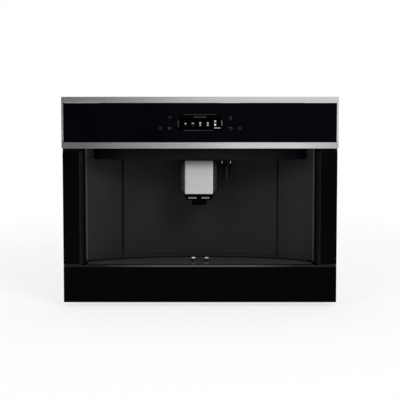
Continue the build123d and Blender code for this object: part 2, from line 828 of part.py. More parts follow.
hot_z = hot_top - hot_block_height / 2
hot_boss_y = wall_depth_at(hot_x) - hot_boss_reach
with BuildPart() as hot_water_outlet:
    with BuildSketch(facing(hot_boss_y)):
        with Locations((hot_x, hot_z - hot_stub_drop)):
            Circle(hot_boss)
    extrude(amount=-2 * hot_boss_reach)
    with BuildSketch(facing(hot_boss_y)):
        with Locations((hot_x, hot_z - hot_stub_drop)):
            Circle(hot_stub)
    extrude(amount=hot_stub_reach)
    with Locations((0, arc_centre_y, hot_z)):
        Cylinder(arc_radius, 4 * hot_boss, mode=Mode.INTERSECT)
save(hot_water_outlet.part, "hot_water_outlet")

# Removable hot water spout: a collar that plugs onto the stub, and a tube down to its mouth.
hot_front_y = hot_boss_y - hot_block - hot_stub_reach / 2
with BuildPart() as hot_water_spout:
    with BuildSketch(facing(hot_boss_y - seat_gap)):
        with Locations((hot_x, hot_z)):
            Rectangle(hot_neck, hot_block_height)
    extrude(amount=hot_boss_y - seat_gap - hot_front_y - hot_block / 2)
    with Locations((hot_x, hot_front_y + hot_block / 2, hot_z)):
        Cylinder(hot_collar, hot_block_height)
    with BuildSketch(Plane.XY.offset(hot_foot)):
        with Locations((hot_x, hot_front_y + hot_block / 2)):
            Circle(hot_tube)
    extrude(amount=hot_z - hot_foot)
    with Locations((hot_x, hot_front_y + hot_block / 2, hot_foot)):
        Cylinder(hot_tube / 2, 2 * hot_tube, mode=Mode.SUBTRACT)
    with Locations(Location((hot_x, hot_boss_y - seat_gap, hot_z - hot_stub_drop), (90, 0, 0))):
        Cylinder(hot_stub + pivot_gap, 2 * (hot_stub_reach + seat_gap), mode=Mode.SUBTRACT)
save(hot_water_spout.part, "hot_water_spout")

# ---------------------------------------------------------------- coffee spout


def spout_outline(inset, back_y):
    """Corners in plan of the spout's faceted front, drawn in by an inset."""
    face = spout_face / 2 - inset / 2
    cheek = spout_width / 2 - inset
    nose_y = spout_front_y + inset
    facet_y = spout_front_y + spout_facet + inset / 2
    return ((face, nose_y), (cheek, facet_y), (cheek, back_y),
            (-cheek, back_y), (-cheek, facet_y), (-face, nose_y))


def guide_slot():
    """Plan of the slot that the T-shaped guide runs in."""
    with Locations((spout_x, guide_front_y - slide_gap)):
        Rectangle(guide_head + 2 * slide_gap, guide_head_depth + 2 * slide_gap,
                  align=(Align.CENTER, Align.MIN))
        Rectangle(guide_web + 2 * slide_gap, spout_back, align=(Align.CENTER, Align.MIN))


with BuildPart() as spout_cover:
    with BuildSketch(Plane.XY.offset(cover_foot)):
        with Locations((spout_x, 0)):
            Polygon(*spout_outline(0, spout_back_y), align=None)
    extrude(amount=spout_top - cover_foot)
    with BuildSketch(Plane.XY.offset(cover_foot)):
        with Locations((spout_x, 0)):
            Polygon(*spout_outline(cover_skin, spout_back_y + cover_skin), align=None)
    extrude(amount=spout_top - cover_skin - cover_foot, mode=Mode.SUBTRACT)
    with BuildSketch(Plane.XY.offset(spout_top - 2 * cover_skin)):
        guide_slot()
    extrude(amount=3 * cover_skin, mode=Mode.SUBTRACT)
    nose_edges = spout_cover.edges().filter_by(Axis.Z).group_by(Axis.Y)[0]
    fillet(nose_edges, nose_radius)
    with BuildSketch(facing(spout_front_y - cover_skin)):
        with Locations((spout_x, cover_foot)):
            Polygon((spout_face / 2, 0), (spout_width / 2, 0), (spout_width / 2, cheek_cut), align=None)
            Polygon((-spout_face / 2, 0), (-spout_width / 2, 0), (-spout_width / 2, cheek_cut), align=None)
    extrude(amount=-spout_back - 2 * cover_skin, mode=Mode.SUBTRACT)
save(spout_cover.part, "spout_cover")

body_inset = cover_skin + seat_gap
nozzle_y = spout_front_y + (guide_head_front_depth - spout_front_depth) / 2
with BuildPart() as spout_body:
    with BuildSketch(Plane.XY.offset(cover_foot)):
        with Locations((spout_x, 0)):
            Polygon(*spout_outline(body_inset + body_relief, spout_back_y), align=None)
    extrude(amount=spout_top - cover_skin - seat_gap - cover_foot)
    with BuildSketch(facing(spout_front_y + body_inset)):
        with Locations((spout_x, 0)):
            top_half = spout_width / 2 - body_inset - body_relief
            foot_half = spout_base_width / 2
            Polygon((-top_half, cover_foot), (-foot_half, spout_base_foot),
                    (foot_half, spout_base_foot), (top_half, cover_foot), align=None)
    extrude(amount=-spout_base_depth)
    with BuildSketch(Plane.XY.offset(spout_base_foot)):
        guide_slot()
    extrude(amount=spout_top - spout_base_foot, mode=Mode.SUBTRACT)
    with BuildSketch(Plane.XY.offset(nozzle_foot)):
        with Locations((spout_x, nozzle_y)):
            SlotOverall(nozzle_spacing + 2 * nozzle_radius, 2 * nozzle_radius)
    extrude(amount=spout_base_foot - nozzle_foot)
    with Locations((spout_x, nozzle_y, nozzle_foot)):
        with GridLocations(nozzle_spacing, 0, 2, 1):
            Cylinder(nozzle_bore, 2 * (spout_base_foot - nozzle_foot), mode=Mode.SUBTRACT)
    with Locations(Location((spout_x, spout_front_y + body_inset, (spout_base_foot + cover_foot) / 2),
                            (90, 0, 0))):
        Cylinder(spout_bump, 2 * light_bar_drop)
save(spout_body.part, "spout_body")

with BuildPart() as spout_light_bars:
    with BuildSketch(facing(spout_front_y + body_inset)):
        with Locations((spout_x, (spout_base_foot + cover_foot) / 2 - light_bar_drop)):
            with GridLocations(light_bar_length + light_bar_gap, 0, 2, 1):
                Rectangle(light_bar_length, light_bar_height)
    extrude(amount=light_bar_drop)
save(spout_light_bars.part, "spout_light_bars")

# ---------------------------------------------------------------- lower front and drip tray
with BuildPart() as lower_glass:
    with BuildSketch(facing(front_y)):
        with Locations((0, front_lift)):
            Rectangle(glass_width, lower_top - lower_split - front_lift, align=(Align.CENTER, Align.MIN))
    extrude(amount=-glass)
    fillet(lower_glass.edges().filter_by(Axis.Y), glass_corner)
save(lower_glass.part, "lower_glass")

with BuildPart() as lower_carrier:
    with BuildSketch(facing(front_y + glass)):
        with Locations((0, front_lift)):
            Rectangle(glass_width - 2 * glass_corner, lower_top - front_lift,
                      align=(Align.CENTER, Align.MIN))
    extrude(amount=glass - front_thickness)
    with BuildSketch(facing(niche_y)):
        with Locations((0, (lower_top + front_lift) / 2)):
            with GridLocations(glass_width / 5, 0, 5, 1):
                Rectangle(glass_width / 5 - 2 * moulding, lower_top - front_lift - 4 * moulding)
    extrude(amount=front_thickness - glass - moulding, mode=Mode.SUBTRACT)
save(lower_carrier.part, "lower_carrier")

with BuildPart() as lower_trim:
    with BuildSketch(Plane.XY.offset(lower_top)):
        with Locations((0, front_y)):
            Rectangle(glass_width, trim_depth, align=(Align.CENTER, Align.MIN))
    extrude(amount=trim_height)
    fillet(lower_trim.edges().filter_by(Axis.X).group_by(Axis.Y)[0].sort_by(Axis.Z)[-1], rounded_edge)
save(lower_trim.part, "lower_trim")

with BuildPart() as drip_tray:
    with BuildSketch(Plane.XY.offset(tray_foot)):
        with Locations((0, niche_y)):
            Rectangle(2 * tray_half, tray_length, align=(Align.CENTER, Align.MIN))
    extrude(amount=tray_rim - tray_foot)
    with BuildSketch(Plane.XY.offset(tray_foot + tray_wall)):
        with Locations((0, niche_y + tray_wall)):
            Rectangle(2 * (tray_half - tray_wall), container_front - niche_y - 3 * tray_wall,
                      align=(Align.CENTER, Align.MIN))
        with Locations((0, container_front - tray_wall)):
            Rectangle(2 * (tray_half - tray_wall), niche_y + tray_length - container_front,
                      align=(Align.CENTER, Align.MIN))
    extrude(amount=tray_rim - tray_foot, mode=Mode.SUBTRACT)
save(drip_tray.part, "drip_tray")

container_foot = tray_foot + tray_wall + seat_gap
with BuildPart() as grounds_container:
    with BuildSketch(Plane.XY.offset(container_foot)):
        with Locations((0, container_front)):
            Rectangle(2 * container_half, container_rear - container_front,
                      align=(Align.CENTER, Align.MIN))
        fillet(vertices(), container_corner)
    extrude(amount=container_height)
    with BuildSketch(Plane.XY.offset(container_foot + tray_wall)):
        with Locations((0, container_front + tray_wall)):
            Rectangle(2 * (container_half - tray_wall), container_rear - container_front - 2 * tray_wall,
                      align=(Align.CENTER, Align.MIN))
        fillet(vertices(), container_corner - tray_wall)
    extrude(amount=container_height, mode=Mode.SUBTRACT)
save(grounds_container.part, "grounds_container")



def stud_places():
    """Plan of the two studs at the back of the cup grille."""
    with Locations((0, front_y + stud_depth)):
        with GridLocations(stud_spacing, 0, 2, 1):
            Circle(stud_radius)


# Slotted cup grille; its back edge follows the recess wall.
with BuildPart() as cup_grille:
    with BuildSketch(Plane.XY.offset(tray_rim + seat_gap)):
        with Locations((0, arc_centre_y)):
            Circle(arc_radius - grille_back_gap)
        with Locations((0, front_y + trim_depth + seat_gap)):
            Rectangle(2 * grille_half, recess_depth, align=(Align.CENTER, Align.MIN),
                      mode=Mode.INTERSECT)
        with Locations((0, front_y + trim_depth + grille_slot_offset)):
            with GridLocations(grille_slot_length + grille_slot_bar, grille_slot_pitch, 4, 3):
                SlotOverall(grille_slot_length, grille_slot, mode=Mode.SUBTRACT)
    extrude(amount=grille_top - tray_rim - seat_gap)
    with BuildSketch(Plane.XY.offset(grille_top)):
        stud_places()
    extrude(amount=stud_foot)
save(cup_grille.part, "cup_grille")

with BuildPart() as tray_studs:
    with BuildSketch(Plane.XY.offset(grille_top + stud_foot)):
        stud_places()
    extrude(amount=stud_height)
    fillet(tray_studs.edges().group_by(Axis.Z)[-1], rounded_edge)
save(tray_studs.part, "tray_studs")

# ---------------------------------------------------------------- lids and what they close


def lid_ears(centre_x, hinge_y, lid_width):
    """Two ears beside a lid's rear edge, bored for its pins, with the strip that joins them."""
    pin_z = body_top + lid_lift + lid_thickness / 2
    ear_x = lid_width / 2 + slide_gap
    with BuildSketch(Plane.XY.offset(body_top)) as strip:
        with Locations((centre_x, hinge_y)):
            Rectangle(2 * (ear_x + ear), 2 * ear)
    extrude(strip.sketch, amount=lid_lift - slide_gap)
    with BuildSketch(Plane.XY.offset(body_top)) as ears:
        with Locations((centre_x, hinge_y)):
            with GridLocations(2 * ear_x + ear, 0, 2, 1):
                Rectangle(ear, 2 * ear)
    extrude(ears.sketch, amount=lid_lift + lid_thickness)
    with Locations(Location((centre_x, hinge_y, pin_z), (0, 90, 0))):
        Cylinder(lid_pin + pivot_gap, 2 * (ear_x + 2 * ear), mode=Mode.SUBTRACT)


def hinged_lid(centre_x, hinge_y, width, length):
    """A lid with a rounded rear edge and a pin at each end of it."""
    pin_z = body_top + lid_lift + lid_thickness / 2
    with BuildSketch(Plane.XY.offset(body_top + lid_lift)) as plate:
        with Locations((centre_x, hinge_y - length)):
            Rectangle(width, length, align=(Align.CENTER, Align.MIN))
        fillet(vertices().group_by(Axis.Y)[0], 2 * lid_margin)
    extrude(plate.sketch, amount=lid_thickness)
    with Locations(Location((centre_x, hinge_y, pin_z), (0, 90, 0))):
        Cylinder(lid_thickness / 2, width)
        Cylinder(lid_pin, width + 2 * (slide_gap + lid_pin_reach))


def tapered_box(top_z, top_width, top_length, foot_z, foot_width, foot_length, place, mode):
    """A straight-sided taper between two level rectangles."""
    with BuildSketch(Plane.XY.offset(top_z)) as mouth:
        with Locations(place):
            Rectangle(top_width, top_length)
    with BuildSketch(Plane.XY.offset(foot_z)) as throat:
        with Locations(place):
            Rectangle(foot_width, foot_length)
    loft([throat.sketch, mouth.sketch], mode=mode)


hopper_lid = hopper_size + 2 * lid_margin
hopper_hinge_y = grinder_y + hopper_lid / 2
hopper_shoulder = body_top - hopper_upright
hopper_rim = lid_lift - slide_gap
with BuildPart() as bean_hopper:
    with BuildSketch(Plane.XY.offset(hopper_shoulder)):
        with Locations((grinder_x, grinder_y)):
            Rectangle(hopper_size - 2 * seat_gap, hopper_size - 2 * seat_gap)
    extrude(amount=hopper_upright + hopper_rim)
    tapered_box(hopper_shoulder, hopper_size - 2 * seat_gap, hopper_size - 2 * seat_gap,
                hopper_foot, hopper_throat, hopper_throat, (grinder_x, grinder_y), Mode.ADD)
    lid_ears(grinder_x, hopper_hinge_y, hopper_lid)
    hopper_bore = hopper_size - 2 * (seat_gap + hopper_wall)
    with BuildSketch(Plane.XY.offset(hopper_shoulder)):
        with Locations((grinder_x, grinder_y)):
            Rectangle(hopper_bore, hopper_bore)
    extrude(amount=hopper_upright + hopper_rim, mode=Mode.SUBTRACT)
    tapered_box(hopper_shoulder, hopper_bore, hopper_bore, hopper_foot, hopper_throat - 2 * hopper_wall,
                hopper_throat - 2 * hopper_wall, (grinder_x, grinder_y), Mode.SUBTRACT)
save(bean_hopper.part, "bean_hopper")

with BuildPart() as bean_lid:
    hinged_lid(grinder_x, hopper_hinge_y, hopper_lid, hopper_lid)
save(bean_lid.part, "bean_lid")

# Funnel for ground coffee, straight down to the brew unit.
funnel_lid_width = funnel_width + 2 * lid_margin
funnel_lid_length = funnel_length + 2 * lid_margin
funnel_hinge_y = funnel_y + funnel_lid_length / 2
funnel_shoulder = body_top - funnel_upright
with BuildPart() as preground_funnel:
    with BuildSketch(Plane.XY.offset(funnel_shoulder)):
        with Locations((funnel_x, funnel_y)):
            Rectangle(funnel_width - 2 * seat_gap, funnel_length - 2 * seat_gap)
    extrude(amount=funnel_upright + hopper_rim)
    tapered_box(funnel_shoulder, funnel_width - 2 * seat_gap, funnel_length - 2 * seat_gap,
                funnel_foot, 2 * funnel_throat, 2 * funnel_throat, (funnel_x, funnel_y), Mode.ADD)
    lid_ears(funnel_x, funnel_hinge_y, funnel_lid_width)
    funnel_bore_width = funnel_width - 2 * (seat_gap + hopper_wall)
    funnel_bore_length = funnel_length - 2 * (seat_gap + hopper_wall)
    with BuildSketch(Plane.XY.offset(funnel_shoulder)):
        with Locations((funnel_x, funnel_y)):
            Rectangle(funnel_bore_width, funnel_bore_length)
    extrude(amount=funnel_upright + hopper_rim, mode=Mode.SUBTRACT)
    tapered_box(funnel_shoulder, funnel_bore_width, funnel_bore_length,
                funnel_foot, 2 * (funnel_throat - hopper_wall), 2 * (funnel_throat - hopper_wall),
                (funnel_x, funnel_y), Mode.SUBTRACT)
save(preground_funnel.part, "preground_funnel")

with BuildPart() as preground_lid:
    hinged_lid(funnel_x, funnel_hinge_y, funnel_lid_width, funnel_lid_length)
save(preground_lid.part, "preground_lid")

# Removable water tank: rounded upright walls, open at the top, with a valve in its floor.
tank_hinge_y = tank_y + tank_size / 2
with BuildPart() as water_tank:
    with BuildSketch(Plane.XY.offset(tank_foot)):
        with Locations((tank_x, tank_y)):
            RectangleRounded(tank_size, tank_size, tank_corner)
    extrude(amount=body_top + hopper_rim - tank_foot)
    with BuildSketch(Plane.XY.offset(body_top + seat_gap)):
        with Locations((tank_x, tank_hinge_y)):
            Rectangle(tank_size + 2 * (slide_gap + ear), 2 * ear)
    extrude(amount=hopper_rim - seat_gap)
    with BuildSketch(Plane.XY.offset(body_top + seat_gap)):
        with Locations((tank_x, tank_hinge_y)):
            with GridLocations(tank_size + 2 * slide_gap + ear, 0, 2, 1):
                Rectangle(ear, 2 * ear)
    extrude(amount=lid_lift + lid_thickness - seat_gap)
    with BuildSketch(Plane.XY.offset(tank_foot + tank_wall)):
        with Locations((tank_x, tank_y)):
            RectangleRounded(tank_size - 2 * tank_wall, tank_size - 2 * tank_wall,
                             tank_corner - tank_wall)
    extrude(amount=body_top + 2 * lid_lift - tank_foot, mode=Mode.SUBTRACT)
    tank_pin_z = body_top + lid_lift + lid_thickness / 2
    with Locations(Location((tank_x, tank_hinge_y, tank_pin_z), (0, 90, 0))):
        Cylinder(lid_pin + pivot_gap, 2 * tank_size, mode=Mode.SUBTRACT)
    with Locations((tank_x, tank_y, tank_foot)):
        Cylinder(valve_radius, valve_height, align=(Align.CENTER, Align.CENTER, Align.MAX))
save(water_tank.part, "water_tank")

with BuildPart() as tank_lid:
    hinged_lid(tank_x, tank_hinge_y, tank_size, tank_size)
save(tank_lid.part, "tank_lid")

# Shelf under the tank, hung from the right side panel, with the socket for the valve.
shelf_top = tank_foot - seat_gap
shelf_left = tank_x - tank_size / 2
with BuildPart() as tank_seat:
    with BuildSketch(Plane.XY.offset(shelf_top - tank_seat_thickness)):
        with Locations((shelf_left, tank_y)):
            Rectangle(body_inner - shelf_left, tank_size, align=(Align.MIN, Align.CENTER))
    extrude(amount=tank_seat_thickness)
    with BuildSketch(sideways(body_inner)):
        with Locations((tank_y, shelf_top)):
            Rectangle(tank_size, shelf_flange, align=(Align.CENTER, Align.MAX))
    extrude(amount=-tank_seat_thickness)
    with Locations((tank_x, tank_y, shelf_top - tank_seat_thickness)):
        Cylinder(valve_radius + 2 * seat_gap + tank_seat_thickness, 2 * valve_height,
                 align=(Align.CENTER, Align.CENTER, Align.MAX))
    with Locations((tank_x, tank_y, shelf_top)):
        Cylinder(valve_radius + seat_gap, 2 * (valve_height + seat_gap), mode=Mode.SUBTRACT)
save(tank_seat.part, "tank_seat")

# Knob that sets how fine the beans are ground.
knob_foot = body_top + seat_gap
with BuildPart() as grind_knob:
    with Locations((knob_x, knob_y, knob_foot)):
        Cylinder(knob_radius, knob_height, align=(Align.CENTER, Align.CENTER, Align.MIN))
    fillet(grind_knob.edges().group_by(Axis.Z)[-1], rounded_edge)
    with Locations((knob_x, knob_y, knob_foot)):
        with PolarLocations(knob_radius + knob_flute / 2, knob_flutes):
            Cylinder(knob_flute, 3 * knob_height, mode=Mode.SUBTRACT)
    with Locations((knob_x, knob_y, knob_foot)):
        Cylinder(knob_shaft, knob_shaft_length, align=(Align.CENTER, Align.CENTER, Align.MAX))
save(grind_knob.part, "grind_knob")

# ---------------------------------------------------------------- grinder
grinder_top = hopper_foot - seat_gap
with BuildPart() as grinder_housing:
    with Locations((grinder_x, grinder_y, grinder_foot)):
        Cylinder(grinder_radius, grinder_top - grinder_foot, align=(Align.CENTER, Align.CENTER, Align.MIN))
    with BuildSketch(sideways(grinder_x)):
        with Locations((grinder_y, grinder_foot)):
            Rectangle(chute_width, chute_height, align=(Align.CENTER, Align.MIN))
    extrude(amount=-infuser_half - seat_gap - grinder_x)
    with Locations((grinder_x, grinder_y, grinder_foot + grinder_floor)):
        Cylinder(upper_burr_radius + seat_gap, grinder_top, align=(Align.CENTER, Align.CENTER, Align.MIN),
                 mode=Mode.SUBTRACT)
        Cylinder(burr_shaft + burr_gap, 3 * grinder_floor, mode=Mode.SUBTRACT)
    with BuildSketch(sideways(grinder_x + burr_radius)):
        with Locations((grinder_y, grinder_foot + grinder_floor)):
            Rectangle(chute_width - 2 * grinder_floor, chute_height - 2 * grinder_floor,
                      align=(Align.CENTER, Align.MIN))
    extrude(amount=-grinder_x, mode=Mode.SUBTRACT)
save(grinder_housing.part, "grinder_housing")

upper_burr_foot = grinder_foot + grinder_floor + chute_height
with BuildPart() as upper_burr:
    with Locations((grinder_x, grinder_y, upper_burr_foot)):
        Cylinder(upper_burr_radius, burr_height, align=(Align.CENTER, Align.CENTER, Align.MIN))
        Cone(burr_radius + burr_gap, burr_tip + burr_gap, burr_height,
             align=(Align.CENTER, Align.CENTER, Align.MIN), mode=Mode.SUBTRACT)
        with PolarLocations(burr_radius + burr_gap, burr_teeth):
            Cylinder(burr_groove, 3 * burr_height, mode=Mode.SUBTRACT)
save(upper_burr.part, "upper_burr")

# Conical burr with leaning grooves, on its own shaft.
with BuildPart() as lower_burr:
    with Locations((grinder_x, grinder_y, upper_burr_foot)):
        Cone(burr_radius, burr_tip, burr_height, align=(Align.CENTER, Align.CENTER, Align.MIN))
    burr_mid_z = upper_burr_foot + burr_height / 2
    for tooth in range(burr_teeth):
        turn = 360.0 * tooth / burr_teeth
        lean = Location((grinder_x, grinder_y, burr_mid_z), (0, 0, turn))
        reach = Location(((burr_radius + burr_tip) / 2 + burr_groove / 2, 0, 0), (burr_lean, -burr_slope, 0))
        with Locations(lean * reach):
            Cylinder(burr_groove, 2 * burr_height, mode=Mode.SUBTRACT)
    with Locations((grinder_x, grinder_y, upper_burr_foot)):
        Cylinder(burr_shaft, upper_burr_foot - grinder_foot + burr_shaft_depth,
                 align=(Align.CENTER, Align.CENTER, Align.MAX))
save(lower_burr.part, "lower_burr")

with BuildPart() as grinder_motor:
    with Locations((grinder_x, grinder_y, motor_foot)):
        Cylinder(motor_radius, grinder_foot - motor_foot, align=(Align.CENTER, Align.CENTER, Align.MIN))
        Box(motor_base, motor_base, motor_foot - deck_height, align=(Align.CENTER, Align.CENTER, Align.MAX))
    with Locations((grinder_x, grinder_y, (motor_foot + grinder_foot) / 2)):
        with PolarLocations(motor_radius, motor_slots):
            Box(motor_slot, motor_slot, (grinder_foot - motor_foot) / 2, mode=Mode.SUBTRACT)
    with Locations((grinder_x, grinder_y, grinder_foot)):
        Cylinder(burr_shaft + pivot_gap, 2 * (burr_shaft_depth + seat_gap), mode=Mode.SUBTRACT)
save(grinder_motor.part, "grinder_motor")

# ---------------------------------------------------------------- brew unit
infuser_top = deck_height + infuser_height
rod_x = chamber_radius + guide_ear / 2
with BuildPart() as infuser_frame:
    with BuildSketch(Plane.XY.offset(deck_height)):
        with Locations((0, infuser_front)):
            Rectangle(2 * infuser_half, infuser_rear - infuser_front, align=(Align.CENTER, Align.MIN))
        fillet(vertices(), infuser_wall)
    extrude(amount=infuser_height)
    with BuildSketch(Plane.XY.offset(deck_height + infuser_wall)):
        with Locations((0, infuser_front + infuser_wall)):
            Rectangle(2 * (infuser_half - infuser_wall), infuser_rear - infuser_front - 2 * infuser_wall,
                      align=(Align.CENTER, Align.MIN))
    extrude(amount=infuser_height, mode=Mode.SUBTRACT)
    with BuildSketch(facing(infuser_front)):
        with Locations((0, deck_height + infuser_window_foot)):
            Rectangle(2 * (infuser_half - infuser_wall), infuser_height, align=(Align.CENTER, Align.MIN))
    extrude(amount=-infuser_wall, mode=Mode.SUBTRACT)
    with BuildSketch(sideways(-infuser_half)):
        with Locations((chamber_y, deck_height + infuser_height / 2)):
            RectangleRounded(infuser_window, infuser_window, 2 * infuser_wall)
    extrude(amount=2 * infuser_half, mode=Mode.SUBTRACT)
    with Locations((0, chamber_y, deck_height)):
        Cylinder(chamber_bore, 4 * infuser_wall, mode=Mode.SUBTRACT)
    with Locations((0, chamber_y, deck_height)):
        with GridLocations(2 * rod_x, 0, 2, 1):
            Cylinder(guide_rod, infuser_height, align=(Align.CENTER, Align.CENTER, Align.MIN))
save(infuser_frame.part, "infuser_frame")

with BuildPart() as brew_chamber:
    with BuildSketch(Plane.XY.offset(chamber_foot)):
        with Locations((0, chamber_y)):
            Circle(chamber_radius)
    extrude(amount=chamber_height)
    with BuildSketch(Plane.XY.offset(chamber_foot + infuser_wall)):
        with Locations((0, chamber_y)):
            SlotOverall(2 * (rod_x + guide_ear / 2), guide_ear)
    extrude(amount=chamber_height / 3)
    with Locations((0, chamber_y, chamber_foot + infuser_wall)):
        Cylinder(chamber_bore, chamber_height, align=(Align.CENTER, Align.CENTER, Align.MIN),
                 mode=Mode.SUBTRACT)
    with Locations((0, chamber_y, chamber_foot)):
        with GridLocations(2 * rod_x, 0, 2, 1):
            Cylinder(guide_rod + pivot_gap, 2 * chamber_height, mode=Mode.SUBTRACT)
save(brew_chamber.part, "brew_chamber")

# Fixed upper piston with its strainer holes, under the drive housing.
with BuildPart() as brew_piston:
    with Locations((0, chamber_y, piston_foot)):
        Cylinder(chamber_bore - piston_gap, piston_height, align=(Align.CENTER, Align.CENTER, Align.MIN))
        Cylinder(piston_stem, infuser_top - piston_foot, align=(Align.CENTER, Align.CENTER, Align.MIN))
    with BuildSketch(Plane.XY.offset(infuser_top)):
        with Locations((0, chamber_y - chamber_bore)):
            Rectangle(2 * infuser_half, infuser_rear - chamber_y + chamber_bore,
                      align=(Align.CENTER, Align.MIN))
        fillet(vertices(), infuser_wall)
    extrude(amount=drive_height)
    with Locations((0, chamber_y, piston_foot)):
        with PolarLocations(chamber_bore / 2, strainer_holes):
            Cylinder(strainer_hole, piston_height, mode=Mode.SUBTRACT)
save(brew_piston.part, "brew_piston")

# ---------------------------------------------------------------- boiler, pump, hoses and power board
boiler_top = deck_height + boiler_height
with BuildPart() as boiler:
    with Locations((boiler_x, boiler_y, deck_height)):
        Cylinder(boiler_radius, boiler_height, align=(Align.CENTER, Align.CENTER, Align.MIN))
    with Locations((boiler_x, boiler_y, deck_height + boiler_height / 2)):
        Cylinder(boiler_radius + boiler_flange, 2 * boiler_flange)
        with PolarLocations(boiler_radius + boiler_flange, boiler_lugs):
            Cylinder(boiler_lug, 4 * boiler_flange)
    with Locations((boiler_x, boiler_y, boiler_top)):
        Cylinder(2 * hose, hose_nut, align=(Align.CENTER, Align.CENTER, Align.MIN))
save(boiler.part, "boiler")

with BuildPart() as water_pump:
    with Locations((pump_x, pump_y, pump_z)):
        Box(2 * pump_radius, pump_length / 2, 2 * pump_radius)
    with Locations(Location((pump_x, pump_y, pump_z), (90, 0, 0))):
        Cylinder(pump_radius / 2, pump_length)
    with Locations((pump_x, pump_y, deck_height)):
        Box(2 * pump_radius, pump_length, sheet, align=(Align.CENTER, Align.CENTER, Align.MIN))
        with GridLocations(0, pump_length / 3, 1, 2):
            Cylinder(pump_radius / 3, pump_z - pump_radius - deck_height,
                     align=(Align.CENTER, Align.CENTER, Align.MIN))
save(water_pump.part, "water_pump")


def pipe(points):
    """A hose along straight runs joined by equal bends."""
    with BuildLine() as route:
        FilletPolyline(*points, radius=hose_bend)
    start = Plane(origin=points[0], z_dir=Vector(*points[1]) - Vector(*points[0]))
    with BuildSketch(start) as section:
        Circle(hose)
    sweep(section.sketch, path=route.line)


pump_rear_y = pump_y + pump_length / 2 + seat_gap
pump_front_y = pump_y - pump_length / 2 - seat_gap
valve_z = shelf_top - tank_seat_thickness - 2 * valve_height - seat_gap
boiler_hose_z = boiler_top + hose_nut + seat_gap
drive_hose_z = infuser_top + drive_height / 2
with BuildPart() as hoses:
    pipe([(tank_x, tank_y, valve_z), (tank_x, tank_y, valve_z - hose_drop),
          (pump_x, pump_rear_y + hose_drop, valve_z - hose_drop),
          (pump_x, pump_rear_y + hose_drop, pump_z), (pump_x, pump_rear_y, pump_z)])
    pipe([(pump_x, pump_front_y, pump_z), (pump_x, pump_front_y - hose_drop, pump_z),
          (boiler_x, pump_front_y - hose_drop, pump_z),
          (boiler_x, boiler_y - boiler_radius - seat_gap, pump_z)])
    pipe([(boiler_x, boiler_y, boiler_hose_z), (boiler_x, boiler_y, drive_hose_z),
          (infuser_half + seat_gap, boiler_y, drive_hose_z)])
save(hoses.part, "hoses")

power_back_y = rear_panel_y - power_standoff
with BuildPart() as power_board:
    with BuildSketch(facing(power_back_y)):
        with Locations((power_x, power_z)):
            Rectangle(power_width, power_height)
    extrude(amount=board_thickness)
    with BuildSketch(facing(rear_panel_y)):
        with Locations((power_x, power_z)):
            with GridLocations(power_width - 4 * boss_radius, power_height - 4 * boss_radius, 2, 2):
                Circle(boss_radius)
    extrude(amount=power_standoff)
    with BuildSketch(facing(power_back_y - board_thickness)):
        with Locations((power_x - power_width / 4, power_z + power_height / 5)):
            Rectangle(transformer, transformer)
        with Locations((power_x + power_width / 5, power_z)):
            with GridLocations(relay_pitch, relay_pitch, 2, 3):
                Rectangle(relay, relay)
    extrude(amount=transformer / 2)
save(power_board.part, "power_board")

# ---------------------------------------------------------------- mains inlet and switch
panel_back_y = rear_panel_y + sheet
with BuildPart() as mains_inlet:
    with BuildSketch(facing(panel_back_y)):
        with Locations((inlet_x, inlet_z)):
            RectangleRounded(inlet_width, inlet_height, inlet_corner)
        with Locations((switch_x, inlet_z)):
            Rectangle(switch_width + 4 * switch_frame, switch_height + 4 * switch_frame)
        with Locations(((inlet_x + switch_x) / 2, inlet_z)):
            Rectangle(switch_x - inlet_x, inlet_height / 2)
    extrude(amount=-inlet_flange)
    with BuildSketch(facing(panel_back_y)):
        with Locations((inlet_x, inlet_z)):
            Rectangle(inlet_width - 2 * (inlet_overlap + seat_gap),
                      inlet_height - 2 * (inlet_overlap_high + seat_gap))
    extrude(amount=inlet_depth)
    with BuildSketch(facing(panel_back_y)):
        with Locations((switch_x, inlet_z)):
            Rectangle(switch_width + 2 * (switch_frame - seat_gap),
                      switch_height + 2 * (switch_frame - seat_gap))
    extrude(amount=switch_depth)
    with BuildSketch(facing(panel_back_y + inlet_flange)):
        with Locations((inlet_x, inlet_z)):
            RectangleRounded(inlet_socket_width, inlet_socket_height, inlet_corner)
    extrude(amount=inlet_depth, mode=Mode.SUBTRACT)
    with BuildSketch(facing(panel_back_y + inlet_flange)):
        with Locations((switch_x, inlet_z)):
            Rectangle(switch_width, switch_height)
    extrude(amount=inlet_flange + switch_depth - switch_frame, mode=Mode.SUBTRACT)
    with BuildSketch(facing(panel_back_y + inlet_flange - inlet_depth)):
        with Locations((inlet_x, inlet_z + inlet_pin), (inlet_x - inlet_pin_spacing, inlet_z - inlet_pin),
                       (inlet_x + inlet_pin_spacing, inlet_z - inlet_pin)):
            Rectangle(inlet_pin, 2 * inlet_pin)
    extrude(amount=-inlet_depth + 2 * inlet_flange)
    with Locations(Location((switch_x, panel_back_y, inlet_z), (0, 90, 0))):
        Cylinder(lid_pin + pivot_gap, switch_width + switch_frame, mode=Mode.SUBTRACT)
save(mains_inlet.part, "mains_inlet")

# Rocker of the main switch, on a pin across its frame.
rocker_half = switch_height / 2 - rocker_gap
with BuildPart() as main_switch:
    with BuildSketch(sideways(switch_x - switch_width / 2 + slide_gap)):
        with Locations((panel_back_y, inlet_z)):
            Polygon((-rocker_back, -rocker_half / 2), (-rocker_back, rocker_half / 2),
                    (rocker_front, rocker_half), (rocker_front - rocker_dish, 0),
                    (rocker_front, -rocker_half), align=None)
    extrude(amount=switch_width - 2 * slide_gap)
    with Locations(Location((switch_x, panel_back_y, inlet_z), (0, 90, 0))):
        Cylinder(lid_pin, switch_width + switch_frame - 2 * slide_gap)
save(main_switch.part, "main_switch")
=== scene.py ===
import math

